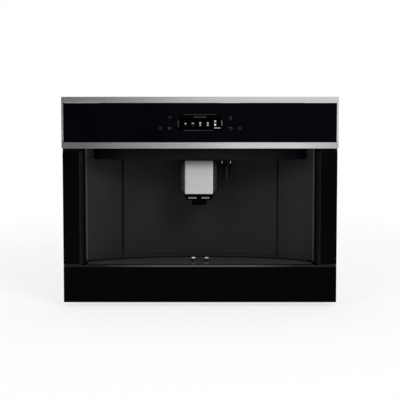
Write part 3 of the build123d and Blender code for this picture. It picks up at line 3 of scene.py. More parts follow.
import bpy
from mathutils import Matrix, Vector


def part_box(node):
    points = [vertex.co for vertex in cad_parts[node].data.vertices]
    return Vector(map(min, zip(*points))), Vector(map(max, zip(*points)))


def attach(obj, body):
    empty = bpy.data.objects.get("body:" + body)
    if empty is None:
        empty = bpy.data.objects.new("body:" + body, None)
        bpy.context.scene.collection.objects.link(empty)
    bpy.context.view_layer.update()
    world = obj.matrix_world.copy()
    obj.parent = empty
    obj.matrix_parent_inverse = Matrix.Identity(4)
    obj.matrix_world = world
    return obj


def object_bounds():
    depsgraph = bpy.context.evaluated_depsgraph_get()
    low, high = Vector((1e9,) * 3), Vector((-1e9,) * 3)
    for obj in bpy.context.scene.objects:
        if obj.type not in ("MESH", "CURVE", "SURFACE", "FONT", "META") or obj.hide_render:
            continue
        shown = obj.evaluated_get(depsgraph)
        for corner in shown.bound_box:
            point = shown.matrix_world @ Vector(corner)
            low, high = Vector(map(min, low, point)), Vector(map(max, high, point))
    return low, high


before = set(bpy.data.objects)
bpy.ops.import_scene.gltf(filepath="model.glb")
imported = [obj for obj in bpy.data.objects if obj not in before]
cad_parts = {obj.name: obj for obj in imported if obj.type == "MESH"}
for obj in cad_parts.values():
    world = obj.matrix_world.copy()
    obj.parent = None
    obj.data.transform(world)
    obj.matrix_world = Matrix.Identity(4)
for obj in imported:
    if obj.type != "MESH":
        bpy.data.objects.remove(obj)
cad_low, cad_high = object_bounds()
bpy.ops.object.select_all(action="DESELECT")

# ---------------------------------------------------------------- control head, steel frame
# A folded frame of stainless steel round the black control glass, brushed along its length.
# It is clipped to the moulded carrier behind the glass.


def open_finish(name):
    """A new finish: its material, node tree, shader and the piece's own coordinates."""
    finish = bpy.data.materials.new(name)
    finish.use_nodes = True
    tree = finish.node_tree
    place = tree.nodes.new("ShaderNodeTexCoord")
    return finish, tree, tree.nodes["Principled BSDF"], place.outputs["Object"]


def mapped(tree, place, way, amount):
    """Coordinates moved by a "Location", turned by a "Rotation" or drawn out by a "Scale"."""
    node = tree.nodes.new("ShaderNodeMapping")
    node.inputs[way].default_value = amount
    tree.links.new(place, node.inputs["Vector"])
    return node.outputs["Vector"]


def coordinate(tree, place, axis):
    """The place along one axis."""
    split = tree.nodes.new("ShaderNodeSeparateXYZ")
    tree.links.new(place, split.inputs["Vector"])
    return split.outputs[axis]


def grain(tree, place, scale, detail):
    """Noise, mostly from 0.3 to 0.7, with features of about 1 / scale metres."""
    node = tree.nodes.new("ShaderNodeTexNoise")
    node.inputs["Scale"].default_value = scale
    node.inputs["Detail"].default_value = detail
    node.inputs["Roughness"].default_value = 0.6
    tree.links.new(place, node.inputs["Vector"])
    return node.outputs["Fac"]


def drawn_grain(tree, place, axis, across, along, detail):
    """Noise drawn out along one axis, with one scale across it and a smaller one along it."""
    scale = [across] * 3
    scale["XYZ".index(axis)] = along
    return grain(tree, mapped(tree, place, "Scale", scale), 1.0, detail)


def spread(tree, amount, low, high, start=0.0, stop=1.0):
    """A value that goes from low to high as the amount goes from start to stop."""
    node = tree.nodes.new("ShaderNodeMapRange")
    node.inputs["From Min"].default_value = start
    node.inputs["From Max"].default_value = stop
    node.inputs["To Min"].default_value = low
    node.inputs["To Max"].default_value = high
    tree.links.new(amount, node.inputs["Value"])
    return node.outputs["Result"]


def toned(tree, amount, tones):
    """A colour that runs through the tones, each given with the amount at which it stands."""
    node = tree.nodes.new("ShaderNodeValToRGB")
    stops = node.color_ramp.elements
    stops.remove(stops[1])
    stops[0].position = tones[0][0]
    stops[0].color = (*tones[0][1], 1.0)
    for stop, tone in tones[1:]:
        stops.new(stop).color = (*tone, 1.0)
    tree.links.new(amount, node.inputs["Fac"])
    return node.outputs["Color"]


def coloured(tree, shader, pattern, dark, light):
    """Colours the piece from dark to light by a pattern."""
    tone = toned(tree, pattern, ((0.3, dark), (0.7, light)))
    tree.links.new(tone, shader.inputs["Base Color"])


def roughened(tree, shader, pattern, low, high):
    """Makes the piece's roughness go from low to high by a pattern."""
    tree.links.new(spread(tree, pattern, low, high, 0.3, 0.7), shader.inputs["Roughness"])


def relief(tree, shader, height, depth, strength=1.0, edge=0.0):
    """Raises the surface by the height pattern, up to the given depth in metres, and eases its edges."""
    node = tree.nodes.new("ShaderNodeBump")
    if edge > 0.0:
        eased = tree.nodes.new("ShaderNodeBevel")
        eased.samples = 6
        eased.inputs["Radius"].default_value = edge
        tree.links.new(eased.outputs["Normal"], node.inputs["Normal"])
    node.inputs["Strength"].default_value = strength
    node.inputs["Distance"].default_value = depth
    tree.links.new(height, node.inputs["Height"])
    tree.links.new(node.outputs["Normal"], shader.inputs["Normal"])


def brushed_metal(name, dark, light, axis, rough):
    """Metal with fine parallel scratches along one axis."""
    finish, tree, shader, place = open_finish(name)
    scratches = drawn_grain(tree, place, axis, 900.0, 6.0, 3.0)
    streaks = drawn_grain(tree, place, axis, 120.0, 1.5, 2.0)
    coloured(tree, shader, streaks, dark, light)
    roughened(tree, shader, scratches, *rough)
    relief(tree, shader, scratches, 0.00002, edge=0.0006)
    shader.inputs["Metallic"].default_value = 1.0
    return finish, tree, shader, place


def tinted(tree, shader, share, shade, blend="MULTIPLY"):
    """Multiplies the base colour by a shade, or mixes it with one, where the share is 1, and leaves it where
    the share is 0. Returns the shade's input."""
    node = tree.nodes.new("ShaderNodeMix")
    node.data_type = "RGBA"
    node.blend_type = blend
    tree.links.new(share, node.inputs["Factor"])
    tree.links.new(shader.inputs["Base Color"].links[0].from_socket, node.inputs["A"])
    node.inputs["B"].default_value = (*shade, 1.0)
    tree.links.new(node.outputs["Result"], shader.inputs["Base Color"])
    return node.inputs["B"]


def below(tree, place, low, high):
    """1 below the low height and 0 above the high one."""
    return spread(tree, coordinate(tree, place, "Z"), 1.0, 0.0, low, high)


def dress(finish, *names):
    """Gives a finish to CAD pieces."""
    for name in names:
        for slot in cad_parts[name].material_slots:
            slot.material = finish


frame_steel, tree, shader, place = brushed_metal(
    "frame steel", dark=(0.595, 0.59, 0.585), light=(0.655, 0.65, 0.645), axis="X", rough=(0.21, 0.30))
# The lower strip gets a painted sheen: brightest right of its middle and darker towards the ends.
lower_strip = (0.360, 0.361)
left_end, right_end = (0.50, 0.505, 0.51), (0.72, 0.725, 0.73)
painted_sheen = [(0.0, left_end)]
for stop, tone in ((0.08, 0.46), (0.20, 0.66), (0.44, 0.74), (0.62, 0.96), (0.84, 0.99)):
    painted_sheen.append((stop, (tone, 1.005 * tone, 1.01 * tone)))
painted_sheen.append((1.0, right_end))
strip_shade = tinted(tree, shader, below(tree, place, *lower_strip), right_end)
from_left = spread(tree, coordinate(tree, place, "X"), 0.0, 1.0, cad_low.x, cad_high.x)
tree.links.new(toned(tree, from_left, painted_sheen), strip_shade)
dress(frame_steel, "head_frame")

# ---------------------------------------------------------------- front glasses
# Toughened glass, printed solid black on its rear face, so that the face stays plain and dark.
# One over the controls, one on each column and one on the drawer, bonded to the mouldings behind them.


def dark_glass(name, tint):
    """Glass over black print: nearly flat, with faint swirls in the polish."""
    finish, tree, shader, place = open_finish(name)
    swirls = grain(tree, place, 9.0, 3.0)
    coloured(tree, shader, swirls, tint, [1.25 * part for part in tint])
    roughened(tree, shader, swirls, 0.05, 0.09)
    relief(tree, shader, swirls, 0.00001, 0.3)
    shader.inputs["Specular IOR Level"].default_value = 0.012
    return finish, tree, shader, place


def worked_out(tree, operation, first, second=None):
    """A value worked out from another one, and from a second value or a number where one is given."""
    node = tree.nodes.new("ShaderNodeMath")
    node.operation = operation
    tree.links.new(first, node.inputs[0])
    if isinstance(second, float):
        node.inputs[1].default_value = second
    elif second is not None:
        tree.links.new(second, node.inputs[1])
    return node.outputs["Value"]


def above(tree, place, low, high):
    """0 below the low height and 1 above the high one."""
    return spread(tree, coordinate(tree, place, "Z"), 0.0, 1.0, low, high)


def inward(tree, place, inner, outer):
    """1 within the inner distance of the middle and 0 beyond the outer one, from left to right."""
    return spread(tree, worked_out(tree, "ABSOLUTE", coordinate(tree, place, "X")), 1.0, 0.0, inner, outer)


# The control glass is clear over the display, whose unlit screen is blacker than the print round it.
screen_side, screen_foot, screen_top = (0.0450, 0.0465), (0.3825, 0.3835), (0.4165, 0.4175)
control_black, tree, shader, place = dark_glass("control glass", (0.0012, 0.0011, 0.0021))
between_sides = inward(tree, place, *screen_side)
over_screen = worked_out(tree, "MULTIPLY", between_sides, above(tree, place, *screen_foot))
over_screen = worked_out(tree, "MULTIPLY", over_screen, below(tree, place, *screen_top))
tinted(tree, shader, over_screen, (0.25, 0.30, 0.25))
tree.links.new(spread(tree, over_screen, 0.012, 0.004), shader.inputs["Specular IOR Level"])
dress(control_black, "control_glass")
panel_black = dark_glass("panel glass", (0.0010, 0.0008, 0.0014))[0]
dress(panel_black, "column_glasses", "lower_glass")

# ---------------------------------------------------------------- display and touch symbols
# Thin translucent print on the control glass, lit from behind by the display and its lamps.
# Cups and glasses in a row, two hairlines, two brackets and six plain symbols; no words.
glass_set_back, print_depth = 0.0005, 0.0001
print_face = cad_low.y + glass_set_back


def lit_print(name, colour, strength):
    """Print that glows softly and unevenly, as a lamp behind it does."""
    finish, tree, shader, place = open_finish(name)
    glowing = grain(tree, place, 700.0, 2.0)
    dim = [0.75 * part for part in colour]
    coloured(tree, shader, glowing, dim, colour)
    tree.links.new(shader.inputs["Base Color"].links[0].from_socket, shader.inputs["Emission Color"])
    shader.inputs["Emission Strength"].default_value = strength
    shader.inputs["Roughness"].default_value = 0.6
    shader.inputs["Specular IOR Level"].default_value = 0.05
    return finish


def on_glass(across, up):
    """A place on the control glass, given in millimetres."""
    return 0.001 * across, print_face - print_depth / 2, 0.001 * up


def printed_plate(across, up, width, height, foot=1.0, corner=0.15):
    """A thin plate on the glass, in millimetres, whose foot may be narrower than its top. Its corners are
    rounded by a share of its smaller side."""
    bpy.ops.object.select_all(action="DESELECT")
    bpy.ops.mesh.primitive_cube_add(size=1.0, location=on_glass(across, up))
    plate = bpy.context.object
    plate.scale = (0.001 * width, print_depth, 0.001 * height)
    bpy.ops.object.transform_apply(location=False, rotation=False, scale=True)
    for point in plate.data.vertices:
        if point.co.z < 0.0:
            point.co.x *= foot
    bpy.ops.object.mode_set(mode="EDIT")
    bpy.ops.mesh.select_mode(type="EDGE")
    bpy.ops.mesh.select_all(action="DESELECT")
    bpy.ops.object.mode_set(mode="OBJECT")
    for edge in plate.data.edges:
        ends = [plate.data.vertices[number].co for number in edge.vertices]
        edge.select = abs(ends[0].y - ends[1].y) > 0.5 * print_depth
    bpy.ops.object.mode_set(mode="EDIT")
    bpy.ops.mesh.bevel(offset=0.001 * corner * min(width, height), segments=3)
    bpy.ops.object.mode_set(mode="OBJECT")
    return plate


def printed_ring(across, up, radius, stroke, tall=1.0):
    """A thin ring on the glass, in millimetres, which may be less tall than it is wide."""
    bpy.ops.object.select_all(action="DESELECT")
    bpy.ops.mesh.primitive_torus_add(
        location=on_glass(across, up), rotation=(math.radians(90.0), 0.0, 0.0), major_segments=28,
        minor_segments=6, major_radius=0.001 * radius, minor_radius=0.0005 * stroke)
    ring = bpy.context.object
    bpy.ops.object.transform_apply(location=False, rotation=True, scale=False)
    ring.scale = (1.0, print_depth / (0.001 * stroke), tall)
    bpy.ops.object.transform_apply(location=False, rotation=False, scale=True)
    return ring


def joined(pieces):
    """Makes one object of several."""
    bpy.ops.object.select_all(action="DESELECT")
    for piece in pieces:
        piece.select_set(True)
    bpy.context.view_layer.objects.active = pieces[0]
    bpy.ops.object.transform_apply(location=True, rotation=True, scale=True)
    bpy.ops.object.join()
    return bpy.context.object


def settle(piece, name, finish, body):
    """Names a finished piece, puts its place in its mesh, and gives it its finish and body."""
    bpy.ops.object.select_all(action="DESELECT")
    piece.select_set(True)
    bpy.context.view_layer.objects.active = piece
    bpy.ops.object.transform_apply(location=True, rotation=True, scale=True)
    piece.name = name
    piece.data.materials.clear()
    piece.data.materials.append(finish)
    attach(piece, body)


white_print = lit_print("white print", (0.46, 0.46, 0.45), 0.9)
grey_print = lit_print("grey print", (0.0080, 0.0080, 0.0085), 0.8)
faint_print = lit_print("faint print", (0.022, 0.023, 0.025), 0.8)
cream_print = lit_print("cream print", (0.235, 0.24, 0.185), 0.9)
line_print = lit_print("line print", (0.11, 0.11, 0.115), 0.8)

# A hairline over the row and one under it, of three plates each, so that they thin towards their ends.
hairlines = []
for up, left, right in ((416.8, -36.0, 34.5), (383.0, -36.0, 28.0)):
    for share in (1.0, 0.66, 0.33):
        stroke = 0.27 + 0.22 * (1.0 - share)
        hairlines.append(printed_plate((left + right) / 2, up, share * (right - left), stroke, corner=0.4))
settle(joined(hairlines), "display_hairlines", line_print, "machine")
settle(printed_plate(0.0, 411.3, 28.0, 2.2, corner=0.45), "title_bar", faint_print, "machine")
# A dashed bar, which starts below the glass at the right end of the row, marks the chosen drink.
first_dash, dash_step, dash_count = 31.1, 2.05, 7
dash_places = [first_dash + dash_step * step for step in range(dash_count)]
dashes = [printed_plate(across, 388.1, 1.4, 1.25, corner=0.3) for across in dash_places]
settle(joined(dashes), "choice_bar", white_print, "machine")

# The row of drinks, each with its place across: two dark cups with pale foam, two layered mugs and a glass.
cup, bowl, mug, tall_mug, glass = -30.6, -15.2, 0.5, 16.7, 32.5
cups = [printed_plate(cup, 395.4, 4.6, 2.4, foot=0.7, corner=0.2),
        printed_plate(cup, 391.6, 5.0, 1.2, corner=0.4),
        printed_plate(bowl, 393.8, 6.4, 4.8, foot=0.7, corner=0.2)]
settle(joined(cups), "small_cups", grey_print, "machine")
foams = [printed_plate(cup - 0.4, 397.4, 3.1, 1.5, corner=0.45),
         printed_plate(bowl, 398.1, 5.2, 0.8, corner=0.45),
         printed_plate(glass, 403.0, 4.1, 2.1, foot=0.9, corner=0.3),
         printed_plate(glass, 394.8, 3.5, 3.9, foot=0.85)]
foams += [printed_plate(glass + side, 399.5, 0.25, 4.8, corner=0.4) for side in (-1.7, 1.7)]
settle(joined(foams), "foam_and_glass", white_print, "machine")
mugs = [printed_plate(mug, 398.6, 4.4, 3.4, foot=0.9, corner=0.2),
        printed_plate(mug, 393.7, 4.1, 2.0, foot=0.9, corner=0.3),
        printed_plate(tall_mug, 399.0, 4.4, 2.6, foot=0.9, corner=0.2),
        printed_plate(tall_mug, 393.7, 4.2, 2.4, foot=0.9, corner=0.3),
        printed_plate(tall_mug, 396.3, 1.3, 2.8, corner=0.2)]
settle(joined(mugs), "tall_cups", cream_print, "machine")

# A bracket at each end of the row; the right one is bolder and shorter.
bracket_top = 403.4
brackets = []
for side, stroke, foot in ((-1.0, 0.45, 391.8), (1.0, 1.3, 393.6)):
    middle, height = (foot + bracket_top) / 2, bracket_top - foot
    brackets.append(printed_plate(side * 47.0, middle, stroke, height, corner=0.4))
    for up in (bracket_top - 0.2, foot):
        brackets.append(printed_plate(side * 46.0, up, 2.6, 0.8 * stroke, corner=0.4))
settle(joined(brackets), "brackets", line_print, "machine")

# Three touch symbols on the left: a list in a ring, a star and a key.
list_across, list_up = -85.0, 387.6
list_marks = [printed_ring(list_across, list_up, 3.4, 0.5)]
list_marks += [printed_plate(list_across, list_up + rise, 3.4, 0.5, corner=0.4) for rise in (-1.5, 0.0, 1.5)]
settle(joined(list_marks), "list_symbol", faint_print, "machine")
star_points, star_radius, star_waist = 5, 0.0046, 0.36
bpy.ops.object.select_all(action="DESELECT")
bpy.ops.mesh.primitive_cylinder_add(vertices=2 * star_points, radius=star_radius, depth=print_depth,
                                    location=on_glass(-65.2, 387.6), rotation=(math.radians(90.0), 0.0, 0.0))
star = bpy.context.object
for point in star.data.vertices:
    turn = math.degrees(math.atan2(point.co.y, point.co.x)) - 90.0
    if round(turn / (180.0 / star_points)) % 2:
        point.co.x *= star_waist
        point.co.y *= star_waist
settle(star, "star_symbol", faint_print, "machine")
settle(joined([printed_ring(-65.5, 410.4, 1.7, 0.7), printed_plate(-62.8, 411.6, 3.0, 0.8, corner=0.4)]),
       "key_symbol", faint_print, "machine")

# Three touch symbols on the right: a lock, a hot cup and a spray of rings.
settle(joined([printed_ring(65.6, 408.0, 2.3, 0.9), printed_ring(65.6, 411.8, 1.5, 0.9)]),
       "lock_symbol", faint_print, "machine")
settle(joined([printed_plate(63.5, 389.8, 1.5, 3.6, corner=0.3), printed_ring(66.4, 387.0, 2.7, 1.0)]),
       "hot_cup_symbol", faint_print, "machine")
spray = [printed_ring(85.7, 387.4, 0.9, 0.6), printed_ring(85.7, 387.2, 2.6, 0.5, tall=0.8),
         printed_ring(85.7, 387.4, 4.4, 0.4, tall=0.8)]
settle(joined(spray), "rings_symbol", faint_print, "machine")

# ---------------------------------------------------------------- mouldings behind the glasses
# Black glass-filled nylon with a fine spark-eroded texture, screwed to the chassis.
# The glasses are bonded to their front faces.


def moulding(name, dark, light, rough, shine=0.5):
    """Moulded plastic with an even fine texture."""
    finish, tree, shader, place = open_finish(name)
    texture = grain(tree, place, 2600.0, 2.0)
    flow = grain(tree, place, 22.0, 3.0)
    coloured(tree, shader, flow, dark, light)
    roughened(tree, shader, texture, *rough)
    relief(tree, shader, texture, 0.00006, 0.6)
    shader.inputs["Specular IOR Level"].default_value = shine
    return finish, tree, shader, place


black_nylon = moulding("black nylon", dark=(0.0016, 0.0016, 0.0019), light=(0.0024, 0.0024, 0.0028),
                       rough=(0.45, 0.62), shine=0.05)[0]
dress(black_nylon, "head_carrier", "right_column_carrier", "left_column_carrier", "lower_carrier")

# ---------------------------------------------------------------- handle strips
# Curved strips beside the columns, in satin black plastic, clipped to the columns' carriers.
# Its side next to the column is painted lighter: a painted highlight.


def outward(tree, place, inner, outer):
    """0 within the inner distance of the middle and 1 beyond the outer one, from left to right."""
    return spread(tree, worked_out(tree, "ABSOLUTE", coordinate(tree, place, "X")), 0.0, 1.0, inner, outer)


painted_sheen_side = (0.2560, 0.2600)
strip_black, tree, shader, place = moulding(
    "handle strip", dark=(0.0018, 0.0018, 0.0021), light=(0.0028, 0.0028, 0.0033),
    rough=(0.30, 0.40), shine=0.05)
tinted(tree, shader, outward(tree, place, *painted_sheen_side), (3.2, 3.2, 3.2))
dress(strip_black, "handle_strips")

# ---------------------------------------------------------------- recess walls and service door
# Sheet steel rolled to an arc and painted satin dark grey; the middle part is the door,
# a moulded shell with the same paint, which turns on two steel pins in the surround behind it.


def satin_paint(name, dark, light):
    """Sprayed paint with the slight orange peel of its coat."""
    finish, tree, shader, place = open_finish(name)
    peel = grain(tree, place, 420.0, 3.0)
    drift = grain(tree, place, 6.0, 3.0)
    coloured(tree, shader, drift, dark, light)
    roughened(tree, shader, peel, 0.36, 0.46)
    relief(tree, shader, peel, 0.00004, 0.5)
    shader.inputs["Specular IOR Level"].default_value = 0.04
    return finish, tree, shader, place


# The side walls are painted paler from the seams to the front edges, as painted light, and their straight
# returns are painted brighter still, as a painted highlight. Beside the canopy's ends the paint is paler:
# painted light.
seam_to_edge, front_return, canopy_height = (0.180, 0.242), (0.2486, 0.2496), (0.318, 0.332)
wall_grey, tree, shader, place = satin_paint(
    "recess grey", dark=(0.0139, 0.0150, 0.0147), light=(0.0161, 0.0172, 0.0169))
tinted(tree, shader, outward(tree, place, *seam_to_edge), (1.65, 1.65, 1.65))
tinted(tree, shader, outward(tree, place, *front_return), (0.085, 0.088, 0.086), "MIX")
tinted(tree, shader, above(tree, place, *canopy_height), (1.75, 1.75, 1.78))
dress(wall_grey, "right_recess_wall", "left_recess_wall")
door_grey = satin_paint("door grey", dark=(0.0140, 0.0155, 0.0150), light=(0.0175, 0.0190, 0.0185))[0]
dress(door_grey, "service_door")

# The surround is black moulding behind the seams, and its sill shows below the door in the door's colour.
sill_height = (0.0985, 0.0995)
surround, tree, shader, place = open_finish("door surround")
texture = grain(tree, place, 2600.0, 2.0)
coloured(tree, shader, below(tree, place, *sill_height), (0.0016, 0.0016, 0.0019), (0.0160, 0.0175, 0.0170))
roughened(tree, shader, texture, 0.45, 0.60)
relief(tree, shader, texture, 0.00005, 0.5)
shader.inputs["Specular IOR Level"].default_value = 0.04
dress(surround, "door_surround")
pin_steel = brushed_metal("pin steel", dark=(0.50, 0.50, 0.51), light=(0.58, 0.58, 0.59), axis="Z",
                          rough=(0.22, 0.32))[0]
dress(pin_steel, "door_hinge_pins")
dress(black_nylon, "spout_guide")

# ---------------------------------------------------------------- canopy and cup lamps
# Moulded hood under the control head, satin black, with two frosted lamps let into its underside.
# Its rounded ends are painted darker and less glossy: painted shade.
rounded_end = (0.140, 0.205)
canopy_black, tree, shader, place = open_finish("canopy black")
texture = grain(tree, place, 1500.0, 2.0)
unshaded_middle = inward(tree, place, *rounded_end)
coloured(tree, shader, unshaded_middle, (0.0024, 0.0030, 0.0040), (0.0036, 0.0042, 0.0047))
roughened(tree, shader, texture, 0.30, 0.42)
tree.links.new(spread(tree, unshaded_middle, 0.01, 0.05), shader.inputs["Specular IOR Level"])
relief(tree, shader, texture, 0.00004, 0.5)
dress(canopy_black, "canopy")
lamp_lens, tree, shader, place = open_finish("frosted lens")
frost = grain(tree, place, 1800.0, 2.0)
coloured(tree, shader, frost, (0.62, 0.62, 0.58), (0.74, 0.74, 0.70))
roughened(tree, shader, frost, 0.35, 0.55)
relief(tree, shader, frost, 0.00003)
dress(lamp_lens, "cup_lamps")

# ---------------------------------------------------------------- coffee spout
# A bent sleeve of satin stainless steel over a black moulding with two outlets.
# The moulding runs on the T-shaped guide of the door, and two light bars shine down past the outlets.


def centred(tree, place, name):
    """Coordinates that start at the middle of a CAD piece, from left to right."""
    piece_low, piece_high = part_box(name)
    return mapped(tree, place, "Location", (-(piece_low.x + piece_high.x) / 2, 0.0, 0.0))


# The steel is painted darker to its top, as painted shade under the canopy, and on its cheeks, beyond the
# front face, as painted shade.
shade_foot, shade_top = 0.278, 0.3165
face_side = (0.0295, 0.0308)
painted_shade_tones = [(0.0, (0.585, 0.585, 0.58))]
for stop, tone in ((0.28, 0.545), (0.51, 0.495), (0.68, 0.355), (0.85, 0.20), (1.0, 0.09)):
    painted_shade_tones.append((stop, (tone, tone, tone)))
spout_steel, tree, shader, place = open_finish("spout steel")
scratches = drawn_grain(tree, place, "X", 900.0, 6.0, 3.0)
tree.links.new(toned(tree, above(tree, place, shade_foot, shade_top), painted_shade_tones), shader.inputs["Base Color"])
tinted(tree, shader, outward(tree, centred(tree, place, "spout_cover"), *face_side), (0.72, 0.735, 0.73))
roughened(tree, shader, scratches, 0.26, 0.36)
relief(tree, shader, scratches, 0.00002, edge=0.0005)
shader.inputs["Metallic"].default_value = 1.0
dress(spout_steel, "spout_cover")

# The outlets' block at the foot of the moulding is painted blacker and less glossy: painted shade.
outlet_block = (0.238, 0.244)
spout_black, tree, shader, place = open_finish("spout black")
texture = grain(tree, place, 2600.0, 2.0)
over_block = above(tree, place, *outlet_block)
coloured(tree, shader, over_block, (0.0009, 0.0009, 0.0012), (0.0016, 0.0016, 0.0018))
roughened(tree, shader, texture, 0.50, 0.62)
tree.links.new(spread(tree, over_block, 0.01, 0.02), shader.inputs["Specular IOR Level"])
relief(tree, shader, texture, 0.00006, 0.6)
dress(spout_black, "spout_body")

# The light bars are painted pale only in a narrow band at their mid height: painted light, as they give no
# light of their own.
lit_band = (0.0010, 0.0013)
bar_low, bar_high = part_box("spout_light_bars")
bar_lens, tree, shader, place = open_finish("bar lens")
frost = grain(tree, place, 900.0, 2.0)
coloured(tree, shader, frost, (0.155, 0.155, 0.152), (0.195, 0.195, 0.192))
off_middle = worked_out(tree, "SUBTRACT", coordinate(tree, place, "Z"), (bar_low.z + bar_high.z) / 2)
unlit = spread(tree, worked_out(tree, "ABSOLUTE", off_middle), 0.0, 1.0, *lit_band)
tinted(tree, shader, unlit, (0.03, 0.03, 0.03))
roughened(tree, shader, frost, 0.25, 0.40)
relief(tree, shader, frost, 0.00003)
dress(bar_lens, "spout_light_bars")

# ---------------------------------------------------------------- hot water spout
# A black moulded collar that plugs onto the stub on the door, with a dark chromed tube below it.
# A darker stripe is painted down its mid line: a painted reflection of the dark room.
dress(spout_black, "hot_water_outlet")
collar_foot, mid_line = (0.2985, 0.2992), (0.0006, 0.0016)
tube_chrome, tree, shader, place = open_finish("tube chrome")
haze = grain(tree, place, 900.0, 3.0)
below_collar = below(tree, place, *collar_foot)
coloured(tree, shader, below_collar, (0.0020, 0.0020, 0.0022), (0.022, 0.023, 0.0245))
tinted(tree, shader, inward(tree, centred(tree, place, "hot_water_spout"), *mid_line), (0.22, 0.22, 0.23))
tree.links.new(below_collar, shader.inputs["Metallic"])
roughened(tree, shader, haze, 0.14, 0.22)
relief(tree, shader, haze, 0.00002)
shader.inputs["Specular IOR Level"].default_value = 0.05
dress(tube_chrome, "hot_water_spout")


def set_down(piece, places):
    """Copies a modelled piece, each copy with its own mesh, and sets one down at each place."""
    bpy.ops.object.select_all(action="DESELECT")
    piece.select_set(True)
    bpy.context.view_layer.objects.active = piece
    pieces = [piece]
    while len(pieces) < len(places):
        bpy.ops.object.duplicate(linked=False)
        pieces.append(bpy.context.object)
    for copy, at in zip(pieces, places):
        copy.location = at
    return pieces


# Two chromed clips, one on each side of the collar, which are pressed to pull it off.
clip_size, clip_round = (0.0024, 0.0030, 0.0072), 0.0007
clip_set_in, clip_forward, clip_down = 0.0013, 0.0046, 0.0046
outlet_low, outlet_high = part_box("hot_water_spout")
collar_x, collar_radius = (outlet_low.x + outlet_high.x) / 2, (outlet_high.x - outlet_low.x) / 2
bpy.ops.object.select_all(action="DESELECT")
bpy.ops.mesh.primitive_cube_add(size=1.0)
clip = bpy.context.object
clip.scale = clip_size
bpy.ops.object.transform_apply(location=False, rotation=False, scale=True)
bpy.ops.object.mode_set(mode="EDIT")
bpy.ops.mesh.select_all(action="SELECT")
bpy.ops.mesh.bevel(offset=clip_round, segments=4)
bpy.ops.object.mode_set(mode="OBJECT")
bpy.ops.object.shade_smooth_by_angle(angle=math.radians(40.0))
clip_reach = collar_radius - clip_set_in
clip_y, clip_z = outlet_low.y + collar_radius - clip_forward, outlet_high.z - clip_down
clips = set_down(clip, [(collar_x + side * clip_reach, clip_y, clip_z) for side in (-1.0, 1.0)])
clip_chrome, tree, shader, place = open_finish("clip chrome")
haze = grain(tree, place, 900.0, 3.0)
coloured(tree, shader, haze, (0.30, 0.30, 0.31), (0.36, 0.36, 0.37))
roughened(tree, shader, haze, 0.08, 0.16)
shader.inputs["Metallic"].default_value = 1.0
settle(joined(clips), "hot_water_clips", clip_chrome, "hot_water_spout")

# ---------------------------------------------------------------- drawer: metal line, tray, grille
# The metal line is anodised aluminium on top of the drawer's glass, and the tray is black moulding.
# The slotted cup grille is a polished dark plate that lies on the tray, and its two studs are chromed.
# The line is painted brightest in its middle and darker towards its ends: a painted sheen.
line_ends = (0.02, 0.29)
trim_metal, tree, shader, place = open_finish("trim metal")
scratches = drawn_grain(tree, place, "X", 900.0, 6.0, 3.0)
coloured(tree, shader, inward(tree, place, *line_ends), (0.020, 0.020, 0.021), (0.096, 0.096, 0.098))
roughened(tree, shader, scratches, 0.30, 0.40)
relief(tree, shader, scratches, 0.00002)
shader.inputs["Metallic"].default_value = 1.0
dress(trim_metal, "lower_trim")
tray_black = moulding("tray black", dark=(0.0045, 0.0045, 0.0048), light=(0.0066, 0.0066, 0.0070),
                      rough=(0.38, 0.52), shine=0.30)[0]
dress(tray_black, "drip_tray", "grounds_container")

# The bosses under the two studs, and the plate close round them, are painted dark: a painted shadow.
stud_shadow_radius = (0.0054, 0.0068)
stud_low, stud_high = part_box("tray_studs")
stud_radius = (stud_high.y - stud_low.y) / 2
stud_foot = (stud_high.x - stud_radius, abs((stud_low.y + stud_high.y) / 2), stud_low.z)
grille_plate, tree, shader, place = open_finish("grille plate")
polish = drawn_grain(tree, place, "X", 500.0, 8.0, 2.0)
coloured(tree, shader, polish, (0.034, 0.034, 0.0345), (0.044, 0.044, 0.0445))
roughened(tree, shader, polish, 0.20, 0.28)
relief(tree, shader, polish, 0.00001)
folded = tree.nodes.new("ShaderNodeVectorMath")
folded.operation = "ABSOLUTE"
tree.links.new(place, folded.inputs[0])
from_stud = tree.nodes.new("ShaderNodeVectorMath")
from_stud.operation = "DISTANCE"
from_stud.inputs[1].default_value = stud_foot
tree.links.new(folded.outputs["Vector"], from_stud.inputs[0])
tinted(tree, shader, spread(tree, from_stud.outputs["Value"], 1.0, 0.0, *stud_shadow_radius), (0.03, 0.03, 0.03))
dress(grille_plate, "cup_grille")

# The studs' lower halves are painted dark: painted shade under their lit tops.
stud_shade_top, stud_shade_fade = (stud_low.z + stud_high.z) / 2, 0.0008
stud_chrome, tree, shader, place = open_finish("stud chrome")
haze = grain(tree, place, 700.0, 3.0)
coloured(tree, shader, haze, (0.86, 0.86, 0.87), (0.93, 0.93, 0.94))
roughened(tree, shader, haze, 0.22, 0.30)
tinted(tree, shader, below(tree, place, stud_shade_top, stud_shade_top + stud_shade_fade), (0.02, 0.02, 0.02))
shader.inputs["Metallic"].default_value = 0.35
dress(stud_chrome, "tray_studs")

# ---------------------------------------------------------------- chassis
# Folded sheet steel with a zinc coat, whose crystals show as a pale and dark spangle.
# Zinc plated socket screws hold the panels to the base and to each other.


def zinc_sheet(name, dark, light):
    """Zinc coated steel with its spangle."""
    finish, tree, shader, place = open_finish(name)
    flakes = tree.nodes.new("ShaderNodeTexVoronoi")
    flakes.inputs["Scale"].default_value = 210.0
    tree.links.new(place, flakes.inputs["Vector"])
    split = tree.nodes.new("ShaderNodeSeparateColor")
    tree.links.new(flakes.outputs["Color"], split.inputs["Color"])
    coloured(tree, shader, split.outputs["Red"], dark, light)
    tree.links.new(spread(tree, split.outputs["Red"], 0.42, 0.54), shader.inputs["Roughness"])
    relief(tree, shader, grain(tree, place, 300.0, 3.0), 0.00003, 0.5, edge=0.0008)
    shader.inputs["Metallic"].default_value = 1.0
    return finish


